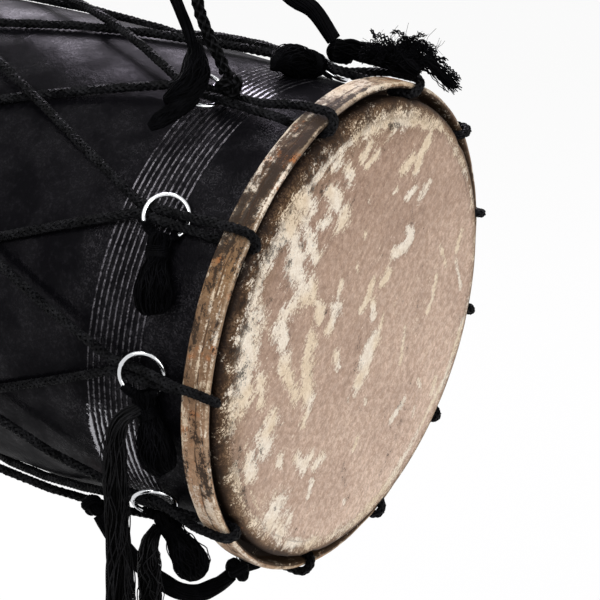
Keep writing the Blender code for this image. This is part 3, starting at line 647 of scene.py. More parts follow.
class Bench:
    """Modelling steps that the pieces share."""

    @staticmethod
    def clear() -> None:
        """Deselect everything."""
        bpy.ops.object.select_all(action="DESELECT")

    @staticmethod
    def only(item: bpy.types.Object) -> None:
        """Select one object and make it active."""
        Bench.clear()
        item.select_set(True)
        bpy.context.view_layer.objects.active = item

    @staticmethod
    def turn(name: str, section: list[tuple[float, float]], steps: int, closed: bool) -> bpy.types.Object:
        """Spin a section round the drum's axis.

        Args:
            name: The piece's name.
            section: Points as (x, radius); an open one starts and ends on the axis.
            steps: Steps of the spin.
            closed: Whether the section's ends are joined.

        Returns:
            The piece, with its faces pointing outwards.
        """
        Bench.clear()
        bpy.ops.mesh.primitive_plane_add(size=0.01, location=(0.0, 0.0, 0.0))
        item = bpy.context.object
        item.name = name
        item.data.name = name
        bpy.ops.object.mode_set(mode="EDIT")
        bpy.ops.mesh.select_mode(type="VERT")
        bpy.ops.mesh.select_all(action="SELECT")
        bpy.ops.mesh.merge(type="CENTER")
        bpy.ops.transform.translate(value=(section[0][0], 0.0, section[0][1] - BODY.drop))
        points = section + section[:1] if closed else section
        for here, there in zip(points, points[1:]):
            bpy.ops.mesh.extrude_vertices_move(
                TRANSFORM_OT_translate={"value": (there[0] - here[0], 0.0, there[1] - here[1])})
        bpy.ops.mesh.select_all(action="SELECT")
        bpy.ops.mesh.remove_doubles(threshold=0.00001)
        bpy.ops.mesh.select_all(action="SELECT")
        bpy.ops.mesh.spin(steps=steps, angle=2 * math.pi, center=(0.0, 0.0, -BODY.drop), axis=(1.0, 0.0, 0.0))
        bpy.ops.mesh.select_all(action="SELECT")
        bpy.ops.mesh.remove_doubles(threshold=0.00001)
        bpy.ops.mesh.select_all(action="SELECT")
        bpy.ops.mesh.normals_make_consistent(inside=False)
        bpy.ops.object.mode_set(mode="OBJECT")
        Bench.smooth(item, 50.0)
        return item

    @staticmethod
    def smooth(item: bpy.types.Object, angle: float) -> None:
        """Shade an object smooth, except at edges sharper than an angle."""
        Bench.only(item)
        bpy.ops.object.shade_smooth_by_angle(angle=math.radians(angle))

    @staticmethod
    def corners(item: bpy.types.Object) -> np.ndarray:
        """Return the places of a mesh's vertices, one row each."""
        flat = np.zeros(len(item.data.vertices) * 3)
        item.data.vertices.foreach_get("co", flat)
        return flat.reshape(-1, 3)

    @staticmethod
    def move_corners(item: bpy.types.Object, rows: np.ndarray) -> None:
        """Set the places of a mesh's vertices."""
        item.data.vertices.foreach_set("co", rows.astype(np.float64).ravel())
        item.data.update()

    @staticmethod
    def keep(item: bpy.types.Object, name: str, values: np.ndarray) -> None:
        """Store a value or a colour at each vertex.

        Args:
            item: The mesh object.
            name: The attribute's name.
            values: One value, or one red, green and blue, for each vertex.
        """
        if values.ndim == 1:
            item.data.attributes.new(name, "FLOAT", "POINT").data.foreach_set("value", values.astype(np.float32))
            return
        rows = np.concatenate([values, np.ones((len(values), 1))], axis=1)
        made = item.data.attributes.new(name, "FLOAT_COLOR", "POINT")
        made.data.foreach_set("color", rows.astype(np.float32).ravel())

    @staticmethod
    def tubes(name: str, lines: list[np.ndarray], radius: float, sides: int = 0,
              swell: object = None) -> bpy.types.Object:
        """Make a mesh of round tubes along lines.

        Args:
            name: The piece's name.
            lines: Points of each tube, in order.
            radius: The tubes' radius.
            sides: Blender's bevel resolution; 0 gives four sides.
            swell: Factors of the radius for each line, or nothing.

        Returns:
            The mesh object, at the origin.
        """
        curve = bpy.data.curves.new(name, "CURVE")
        curve.dimensions = "3D"
        curve.bevel_depth = radius
        curve.bevel_resolution = sides
        curve.use_fill_caps = True
        curve.resolution_u = 1
        for number, line in enumerate(lines):
            spline = curve.splines.new("POLY")
            spline.points.add(len(line) - 1)
            rows = np.concatenate([line, np.ones((len(line), 1))], axis=1)
            spline.points.foreach_set("co", rows.astype(np.float32).ravel())
            factors = np.ones(len(line)) if swell is None else swell[number]
            spline.points.foreach_set("radius", np.asarray(factors, np.float32))
        item = bpy.data.objects.new(name, curve)
        bpy.context.scene.collection.objects.link(item)
        Bench.only(item)
        bpy.ops.object.convert(target="MESH")
        item = bpy.context.object
        item.data.name = name
        Bench.smooth(item, 80.0)
        return item

    @staticmethod
    def join(name: str, items: list[bpy.types.Object]) -> bpy.types.Object:
        """Join meshes into the first one and name it."""
        Bench.only(items[0])
        for item in items:
            item.select_set(True)
        bpy.ops.object.join()
        joined = bpy.context.object
        joined.name = name
        joined.data.name = name
        return joined

    @staticmethod
    def hollow(item: bpy.types.Object, line: "Line", radius: np.ndarray) -> None:
        """Store how deep each corner lies under the skin of a rope or bundle.

        Args:
            item: The rope or bundle.
            line: Its middle line.
            radius: Its radius at each point of the line.
        """
        tree = KDTree(len(line.points))
        for index, point in enumerate(line.points):
            tree.insert(point, index)
        tree.balance()
        rows = Bench.corners(item)
        found = [tree.find(row)[1] for row in rows]
        middle = line.points[found]
        forward = np.gradient(line.points, axis=0)[found]
        forward = forward / np.maximum(np.linalg.norm(forward, axis=1), 1e-12)[:, None]
        away = rows - middle
        away = away - forward * np.sum(away * forward, axis=1)[:, None]
        share = np.linalg.norm(away, axis=1) / np.maximum(np.asarray(radius)[found], 1e-6)
        Bench.keep(item, "hollow", np.clip((0.98 - share) / 0.40, 0, 1))

    @staticmethod
    def fit(item: bpy.types.Object, slot: Slot, body: str, *nodes: str) -> bpy.types.Object:
        """Dress a piece, attach it to its body and let it stand for its nodes.

        Args:
            item: The piece.
            slot: Its material slot.
            body: The body that it rides on.
            nodes: CAD nodes that it replaces.

        Returns:
            The piece.
        """
        item.data.materials.clear()
        item.data.materials.append(FINISHES[slot])
        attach(item, body)
        if nodes:
            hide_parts(*nodes)
        LOG.info("made %s, %d faces", item.name, len(item.data.polygons))
        return item


class Line:
    """Points of a cord's line, and the threads that follow it."""

    def __init__(self, points: np.ndarray) -> None:
        """Keep the points and work out a frame at each.

        Args:
            points: Points in order, one row each.
        """
        self.points = np.asarray(points, float)
        ahead = np.gradient(self.points, axis=0)
        self.tangent = ahead / np.linalg.norm(ahead, axis=1)[:, None]
        steps = np.linalg.norm(np.diff(self.points, axis=0), axis=1)
        self.reach = np.concatenate([[0.0], np.cumsum(steps)])
        self.across, self.up = self._frames()

    def _frames(self) -> tuple[np.ndarray, np.ndarray]:
        """Carry a sideways direction along the line without twist.

        Returns:
            Two directions square to the line at each point.
        """
        start = Vector(self.tangent[0])
        side = start.orthogonal().normalized()
        rows = []
        before = start
        for row in self.tangent:
            here = Vector(row)
            side = before.rotation_difference(here) @ side
            side = (side - here * side.dot(here)).normalized()
            rows.append(tuple(side))
            before = here
        across = np.array(rows)
        return across, np.cross(self.tangent, across)

    @property
    def length(self) -> float:
        """Length of the line."""
        return float(self.reach[-1])

    @staticmethod
    def spaced(points: np.ndarray, spacing: float) -> np.ndarray:
        """Place points at an even spacing on straight pieces.

        Args:
            points: Corners of the line.
            spacing: Wanted distance.

        Returns:
            The new points.
        """
        points = np.asarray(points, float)
        steps = np.linalg.norm(np.diff(points, axis=0), axis=1)
        reach = np.concatenate([[0.0], np.cumsum(steps)])
        count = max(2, int(round(reach[-1] / spacing)) + 1)
        wanted = np.linspace(0.0, reach[-1], count)
        return np.stack([np.interp(wanted, reach, points[:, axis]) for axis in range(3)], axis=1)

    @staticmethod
    def eased(points: np.ndarray, window: int) -> np.ndarray:
        """Round a line's corners by averaging each point with its neighbours."""
        if window < 2:
            return points
        padded = np.concatenate([np.repeat(points[:1], window, 0), points, np.repeat(points[-1:], window, 0)])
        weights = np.hanning(2 * window + 3)[1:-1]
        weights /= weights.sum()
        smooth = np.stack([np.convolve(padded[:, axis], weights, "valid") for axis in range(3)], axis=1)
        smooth[0], smooth[-1] = points[0], points[-1]
        return smooth

    @staticmethod
    def flowing(points: list, spacing: float) -> np.ndarray:
        """Lay a smooth curve through a cord's points, as the part's source does.

        Args:
            points: The cord's own points.
            spacing: Distance between the new points.

        Returns:
            Points at an even spacing.
        """
        points = [Vector(point) for point in points]
        padded = [2 * points[0] - points[1], *points, 2 * points[-1] - points[-2]]
        fine = []
        for p0, p1, p2, p3 in zip(padded, padded[1:], padded[2:], padded[3:]):
            for step in range(24):
                t = step / 24
                fine.append(0.5 * (2 * p1 + (p2 - p0) * t + (2 * p0 - 5 * p1 + 4 * p2 - p3) * t ** 2
                                   + (3 * p1 - p0 - 3 * p2 + p3) * t ** 3))
        fine.append(points[-1].copy())
        return Line.spaced(np.array([tuple(point) for point in fine]), spacing)

    def offset(self, radius: np.ndarray, turn: np.ndarray) -> np.ndarray:
        """Return points beside the line.

        Args:
            radius: Distance from the line at each point.
            turn: Angle round the line at each point, in radians.

        Returns:
            The new points.
        """
        shift = np.cos(turn)[:, None] * self.across + np.sin(turn)[:, None] * self.up
        return self.points + np.asarray(radius)[:, None] * shift


@dataclass(frozen=True)
class Braid:
    """A round braid: strands that run both ways and pass over and under each other."""

    radius: float
    pitch: float
    strand: float
    wave: float
    count: int = 4

    def lines(self, line: Line) -> list[np.ndarray]:
        """Lay the braid's strands along a line.

        Args:
            line: The rope's line.

        Returns:
            The strands' points.
        """
        middle = self.radius - self.strand - self.wave
        phase = 2 * math.pi * line.reach / self.pitch
        lift = self.wave * np.cos(self.count * phase)
        strands = []
        for index in range(self.count):
            turn = 2 * math.pi * index / self.count
            strands.append(line.offset(middle + lift, phase + turn))
            strands.append(line.offset(middle - lift, -phase + turn))
        return strands

    def core_radius(self) -> float:
        """Return the radius of the core that fills the braid."""
        return self.radius - 1.5 * self.strand - self.wave

    def build(self, name: str, line: Line) -> bpy.types.Object:
        """Make the braid with its core.

        Args:
            name: The piece's name.
            line: The rope's line.

        Returns:
            The mesh object.
        """
        taper = np.ones(len(line.points))
        strands = Bench.tubes(name, self.lines(line), self.strand, 0, [taper] * (2 * self.count))
        core = Bench.tubes(name + "_core", [line.points], self.core_radius(), 1)
        item = Bench.join(name, [strands, core])
        Bench.hollow(item, line, np.full(len(line.points), self.radius))
        return item


@dataclass(frozen=True)
class Bundle:
    """A bundle of yarn: threads on the skin of a soft core."""

    radius: float
    count: int
    thread: float
    seed: int
    twist: float = 0.0
    wander: float = 0.12
    depth: float = 0.16
    loose: float = 0.0
    sides: int = 0

    def lines(self, line: Line, swell: np.ndarray) -> list[np.ndarray]:
        """Lay the threads along a line.

        Args:
            line: The bundle's line.
            swell: Factors of the radius along it.

        Returns:
            The threads' points.
        """
        random = np.random.default_rng(self.seed)
        share = line.reach / max(line.length, 1e-9)
        rows = []
        for index in range(self.count):
            turn = 2 * math.pi * (index + random.uniform(-0.45, 0.45)) / self.count
            drift = np.zeros_like(share)
            lift = np.zeros_like(share)
            for wave in range(1, 4):
                drift += self.wander / wave * np.sin(2 * math.pi * (wave * share * random.uniform(0.6, 1.5)
                                                                     + random.uniform()))
                lift += np.sin(2 * math.pi * (wave * share * random.uniform(0.8, 1.8) + random.uniform())) / wave
            inward = 1.0 - self.depth * random.uniform() + 0.05 * lift
            if random.uniform() < self.loose:
                inward = inward + 0.14 * np.abs(lift)
            radius = np.maximum(self.radius * swell * inward - self.thread, self.thread * 0.5)
            rows.append(line.offset(radius, turn + drift + self.twist * line.reach))
        return rows

    def build(self, name: str, line: Line, swell: np.ndarray) -> bpy.types.Object:
        """Make the bundle with its core.

        Args:
            name: The piece's name.
            line: The bundle's line.
            swell: Factors of the radius along it.

        Returns:
            The mesh object.
        """
        threads = Bench.tubes(name, self.lines(line, swell), self.thread, self.sides)
        core = Bench.tubes(name + "_core", [line.points], self.radius * (1 - 0.8 * self.depth) - self.thread, 2,
                           [swell])
        item = Bench.join(name, [threads, core])
        Bench.hollow(item, line, self.radius * np.asarray(swell))
        return item


def profile_along(count: int, shape: tuple[float, ...]) -> np.ndarray:
    """Spread a few radius factors evenly along a line.

    Args:
        count: Points of the line.
        shape: Factors from start to end.

    Returns:
        A factor for each point.
    """
    return np.interp(np.linspace(0, 1, count), np.linspace(0, 1, len(shape)), shape)


def trefoil(centre: Vector, radius: float, tube: float, normal: Vector, seed_turn: float) -> Line:
    """Return the line of a rope knot.

    Args:
        centre: Middle of the knot.
        radius: Outer radius of the finished knot.
        tube: Radius of the rope in it.
        normal: Direction across its flat side.
        seed_turn: Turn of the knot about that direction, in radians.

    Returns:
        The closed line, with its ends just past each other.
    """
    turn = np.linspace(0.0, 2 * math.pi * 1.02, 74)
    scale = (radius - tube) / 3.0
    flat = np.stack([np.sin(turn) + 2 * np.sin(2 * turn), np.cos(turn) - 2 * np.cos(2 * turn),
                     -1.6 * np.sin(3 * turn)], axis=1) * scale
    axis = normal.normalized()
    across = axis.orthogonal().normalized()
    across = Matrix.Rotation(seed_turn, 3, axis) @ across
    up = axis.cross(across)
    frame_rows = np.array([tuple(across), tuple(up), tuple(axis)])
    return Line(np.array(tuple(centre)) + flat @ frame_rows)


@dataclass
class Barrel:
    """The turned barrel with its bands of grooves."""

    steps: int = 256
    station: float = 0.010
    groove_first: float = 0.0745
    groove_pitch: float = 0.00517
    groove_count: int = 10
    groove_form: tuple = ((0.0008, 0.0), (0.0004, -0.0002), (0.0, -0.0009), (-0.0005, -0.00030),
                          (-0.0009, -0.00015), (-0.0014, 0.0), (-0.0016, 0.0))
    facet_middle: float = 0.00095
    facet_half: float = 0.0005
    # Angles and half-widths of the painted highlights on the treble grooves.
    painted_glint_angles: tuple = ((254.0, 14.0), (352.5, 6.0))

    def grooves(self) -> list[float]:
        """Return the grooves' places along the axis, at both ends."""
        reach = [TREBLE.face - self.groove_first - self.groove_pitch * index for index in range(self.groove_count)]
        return reach + [-x for x in reach]

    def outline(self) -> list[tuple[float, float]]:
        """Return the outer surface between the rims, from the treble to the bass end."""
        rows = {}
        limit = BODY.length / 2 - 0.006
        count = int(2 * limit / self.station)
        for index in range(count + 1):
            x = limit - 2 * limit * index / count
            if all(abs(x - groove) > self.groove_pitch / 2 for groove in self.grooves()):
                rows[x] = BODY.radius(x)
        for groove in self.grooves():
            for shift, height in self.groove_form:
                rows[groove + shift] = BODY.radius(groove + shift) + height
        return sorted(rows.items(), reverse=True)

    @staticmethod
    def rim(end: End) -> list[tuple[float, float]]:
        """Return the rounded bearing edge at one end, from its front."""
        radius = end.shoulder - end.hide - GAP
        turns = [math.radians(15 * index) for index in range(7)]
        return [(end.side * (BODY.length / 2 - radius + radius * math.cos(turn)),
                 BODY.mouth - radius + radius * math.sin(turn)) for turn in turns]

    def build(self) -> None:
        """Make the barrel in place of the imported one."""
        half = BODY.length / 2
        outer = self.rim(TREBLE) + self.outline() + list(reversed(self.rim(BASS)))
        inner = [(-half + 2 * half * index / 10, 0.0) for index in range(11)]
        inner = [(x, BODY.radius(x) - BODY.wall) for x, _ in inner]
        item = Bench.turn("turned_barrel", outer + inner, self.steps, True)
        Bench.smooth(item, 25.0)
        rows = Bench.corners(item)
        shifts = np.array([rows[:, 0] - groove for groove in self.grooves()])
        nearest = np.min(np.abs(shifts + self.facet_middle), axis=0)
        Bench.keep(item, "facet", (nearest < self.facet_half).astype(float))
        # Painted highlight: the groove lands near these angles, on the treble end only, are marked for the lacquer's
        # painted glints.
        angle = np.degrees(np.arctan2(rows[:, 1], rows[:, 2] + BODY.drop)) % 360
        aim = np.max([np.exp(-(((angle - middle + 180) % 360 - 180) / half) ** 2) for middle, half in self.painted_glint_angles],
                     axis=0)
        bottom = np.min(np.abs(shifts), axis=0) < 0.0010
        banded = np.min(np.abs(shifts), axis=0) < 0.0030
        Bench.keep(item, "painted_glint_zone", aim * banded * ~bottom * (rows[:, 0] > 0))
        Bench.fit(item, Slot.LACQUER, "drum", "shell")


@dataclass
class DrumHead:
    """A hide over its end of the barrel, lapped round its hoop."""

    end: End
    angles: list[float]
    steps: int = 420
    ring: float = 0.0021
    wear: tuple = ()
    stains: tuple = ()
    look: tuple = ()
    # Tints at the two ends of the painted light ramp across the face.
    plain: tuple = (0.370, 0.256, 0.192)
    light: tuple = (0.665, 0.516, 0.420)
    shoulder_form: tuple = ((0.0, -12.2), (0.35, -8.2), (1.0, -4.9), (2.0, -2.2), (3.4, 0.0), (5.2, 1.4),
                            (7.4, 1.8), (9.6, 1.6), (12.5, 1.0), (16.0, 0.4), (19.0, 0.1), (20.5, 0.25))
    soiled_angle: float = 318.0
    dent_half: float = 0.0065
    dent: float = 0.0016
    lap_wave: float = 0.00035

    def section(self) -> list[tuple[float, float]]:
        """Return the hide's section as depth behind the face and radius."""
        end = self.end
        flat = end.skirt + self.shoulder_form[0][1] / 1000
        rings = int(flat / self.ring)
        points = [(0.0, flat * index / rings) for index in range(rings)]
        points += [(depth / 1000, end.skirt + out / 1000) for depth, out in self.shoulder_form]
        floor = end.web_depth
        points += [(floor, end.skirt + 0.0012), (floor, end.skirt + 0.0031), (floor, end.skirt + 0.005),
                   (floor, end.skirt + 0.0069), (floor - 0.0003, end.lap_inner - 0.0005),
                   (floor - 0.0012, end.lap_inner - 0.0001)]
        points += [(depth, end.lap_inner) for depth in (0.0175, 0.0145, 0.0115, 0.0085, 0.006)]
        for index in range(9):
            turn = math.radians(-90 + 22.5 * index)
            points.append((end.edge_depth - end.edge_radius * math.cos(turn),
                           end.edge_centre + end.edge_radius * math.sin(turn)))
        points += [(depth, end.lap_outer + swell) for depth, swell in
                   ((0.006, 0.0001), (0.008, 0.0002), (0.010, 0.00025), (0.012, 0.0003), (0.014, 0.0003),
                    (0.016, 0.0003), (0.018, 0.0002), (0.020, 0.0001), (0.022, 0.0001), (0.0238, 0.0))]
        points += [(end.band_rear - 0.0004, end.lap_outer - 0.0002), (end.band_rear, end.lap_outer - 0.0006),
                   (end.band_rear, end.lap_outer - end.lap)]
        front = end.setback + end.lap + GAP
        points += [(front, end.lap_outer - end.lap), (front, end.lap_inner + end.lap),
                   (floor + end.lap, end.lap_inner + end.lap), (floor + end.lap, end.skirt - end.hide)]
        inner = end.shoulder - end.hide
        for index in range(5):
            turn = math.radians(90 - 22.5 * index)
            points.append((end.shoulder - inner * math.cos(turn),
                           end.skirt - end.shoulder + inner * math.sin(turn)))
        points.append((end.hide, 0.0))
        return points

    def shape(self, item: bpy.types.Object) -> tuple[np.ndarray, np.ndarray, np.ndarray]:
        """Press the dents, wave the lap and lean the hoop.

        Args:
            item: The turned hide.

        Returns:
            Each vertex's depth, radius and angle before the moves.
        """
        end = self.end
        rows = Bench.corners(item)
        depth = end.face - end.side * rows[:, 0]
        radius = np.hypot(rows[:, 1], rows[:, 2] + BODY.drop)
        angle = np.degrees(np.arctan2(rows[:, 1], rows[:, 2] + BODY.drop)) % 360
        near = np.zeros(len(rows))
        for wrap in self.angles:
            away = np.radians((angle - wrap + 180) % 360 - 180) * end.skirt
            near = np.maximum(near, np.exp(-(away / self.dent_half) ** 2))
        on_skirt = np.clip((radius - end.skirt + 0.004) / 0.004, 0, 1) * (radius < end.skirt + 0.0025)
        on_skirt = on_skirt * (depth > 0.0008) * (depth < 0.0195)
        on_lap = radius > end.lap_inner - 0.0002
        turn = np.radians(angle)
        wave = (np.sin(7 * turn + 0.6) + 0.7 * np.sin(13 * turn + 2.1) + 0.45 * np.sin(29 * turn + 4.0)) / 2
        outer = on_lap * (radius > end.edge_centre)
        new_radius = radius - on_skirt * near * self.dent - outer * near * 0.0003
        new_radius = new_radius + outer * wave * self.lap_wave + on_skirt * wave * 0.0003
        front_wave = (np.sin(5 * turn + 1.0) + 0.6 * np.sin(17 * turn) + 0.4 * np.sin(41 * turn + 2.0)) / 2
        new_depth = depth + on_lap * front_wave * 0.0004
        share = np.clip((depth - 0.008) / 0.012, 0, 1)
        share = np.where(radius > end.skirt + 0.0025, 1.0, share)
        new_depth = new_depth + share * end.lean * (1 - np.cos(turn - math.radians(end.lean_angle))) / 2
        rows[:, 0] = end.side * (end.face - new_depth)
        rows[:, 1] = new_radius * np.sin(turn)
        rows[:, 2] = new_radius * np.cos(turn) - BODY.drop
        Bench.move_corners(item, rows)
        return depth, radius, angle

    @staticmethod
    def strokes(rows: tuple, across: np.ndarray, up: np.ndarray) -> np.ndarray:
        """Return how far inside a set of given strokes each place is.

        Args:
            rows: Strokes as (half-width, points), in millimetres.
            across: Places across the head, in millimetres.
            up: Places up the head, in millimetres.

        Returns:
            About 1 inside, 0.5 on a stroke's edge and 0 outside.
        """
        best = np.zeros(len(across))
        for half, points in rows:
            away = np.full(len(across), 1e6)
            ends = list(zip(points, points[1:])) or [(points[0], points[0])]
            for (x0, y0), (x1, y1) in ends:
                dx, dy = x1 - x0, y1 - y0
                share = np.clip(((across - x0) * dx + (up - y0) * dy) / max(dx * dx + dy * dy, 1e-6), 0, 1)
                away = np.minimum(away, np.hypot(across - x0 - share * dx, up - y0 - share * dy))
            soft = max(2.6, 0.95 * half)
            best = np.maximum(best, np.clip(0.5 + (half - away) / (2 * soft), 0, 1))
        return best

    def paint(self, item: bpy.types.Object, depth: np.ndarray, radius: np.ndarray, angle: np.ndarray) -> None:
        """Store the hide's colour, wear and stains, and its painted light and shade.

        Args:
            item: The hide.
            depth: Each vertex's depth behind the face.
            radius: Its radius.
            angle: Its angle.
        """
        end = self.end
        across = radius * np.sin(np.radians(angle)) * 1000
        up = radius * np.cos(np.radians(angle)) * 1000
        # Painted light: the tint ramps from plain to light across the head, lighter towards +Y and towards the bottom.
        glow = np.clip(0.5 + (across * 0.35 - up * 0.95) / 330, 0, 1)[:, None]
        tint = np.array(self.plain) * (1 - glow) + np.array(self.light) * glow
        pale = self.strokes(self.wear, across, up) if self.wear else np.full(len(across), 0.12)
        stain = self.strokes(self.stains, across, up) * 0.62 if self.stains else np.zeros(len(across))
        warm = np.zeros(len(across))
        out = (radius - end.skirt) * 1000
        deep = depth * 1000
        on_lap = radius > end.lap_inner - 0.0002
        inside = (depth > end.hide - 0.0001) & (out < -0.9) & (depth > np.where(out > -12, 0.0023, 0.0005))

        def blend(share: np.ndarray, color: tuple) -> None:
            """Move the tint towards a colour."""
            nonlocal tint
            tint = tint * (1 - share[:, None]) + np.array(color) * share[:, None]

        soiled = np.clip(np.cos(np.radians(angle - self.soiled_angle)) * 1.3, 0, 1)
        rim = np.clip((out + 40) / 24, 0, 1) * ~on_lap
        blend(rim * soiled * 0.8, (0.25, 0.165, 0.105))
        stain = np.maximum(stain, rim * soiled * 0.31)
        pale = np.maximum(pale, rim * soiled * 0.30)
        edge = np.clip((out + 11.5) / 5, 0, 1) * ~on_lap
        blend(edge * 0.9, (0.34, 0.23, 0.145))
        blend(edge * soiled * 0.9, (0.21, 0.132, 0.072))
        stain = np.maximum(stain * (1 - edge), (0.22 + 0.18 * soiled) * edge)
        pale = pale * (1 - edge) + 0.42 * edge
        # Painted shade, over the skin's own darker tone: the hide's wall down into the channel, the channel's floor
        # and the lap's inner side are darkened.
        skirt = np.clip((deep - 0.5) / 2.0, 0, 1) * ~on_lap * (out > -7)
        blend(skirt, (0.075, 0.042, 0.022))
        pale = pale * (1 - 0.9 * skirt)
        stain = np.maximum(stain * (1 - skirt), 0.30 * skirt)
        floor = np.clip((deep - 2.5) / 3.5, 0, 1) * ~on_lap * (out > -3)
        blend(floor, (0.020, 0.012, 0.008))
        pale = pale * (1 - floor)
        lap_inner = on_lap & (radius < end.edge_centre - 0.0005)
        tint[lap_inner] = (0.060, 0.036, 0.020)
        pale[lap_inner] = 0.1
        rows = np.array([row[0] for row in self.look], float)
        outer = on_lap & ~lap_inner
        for column in range(3):
            tint[outer, column] = np.interp(angle[outer], rows, [row[1][column] for row in self.look], period=360)
        for values, column in ((pale, 2), (stain, 3), (warm, 4)):
            values[outer] = np.interp(angle[outer], rows, [row[column] for row in self.look], period=360)
        # Painted highlight, with rubbed wear: the lap's front and rear edges are made lighter and paler, and unstained
        # at the front.
        edge_highlight = np.clip(1 - np.abs(deep - 2.4) / 1.3, 0, 1) * outer
        blend(edge_highlight * 0.6, (0.40, 0.32, 0.23))
        stain = stain * (1 - edge_highlight)
        pale = pale + edge_highlight * 0.2
        rear_edge_highlight = np.clip((depth - end.band_rear + 0.0025) * 1000 / 1.5, 0, 1) * outer
        pale = pale + rear_edge_highlight * 0.28
        tint[inside] = (0.28, 0.20, 0.13)
        pale[inside] = 0.1
        arc = ((angle + 230) % 360) * math.radians(1) * end.skirt
        Bench.keep(item, "tint", tint)
        Bench.keep(item, "band", np.stack([depth, arc, radius], axis=1))
        for name, values in (("pale", pale), ("stain", stain), ("warm", warm), ("lap", outer.astype(float)),
                             ("grime", soiled)):
            Bench.keep(item, name, values)

    def build(self) -> None:
        """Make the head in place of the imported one."""
        end = self.end
        section = [(end.side * (end.face - depth), radius) for depth, radius in self.section()]
        item = Bench.turn(f"{end.name}_skin", section, self.steps, False)
        self.paint(item, *self.shape(item))
        Bench.smooth(item, 60.0)
        Bench.fit(item, Slot.HIDE, "drum", f"{end.name}_hide")


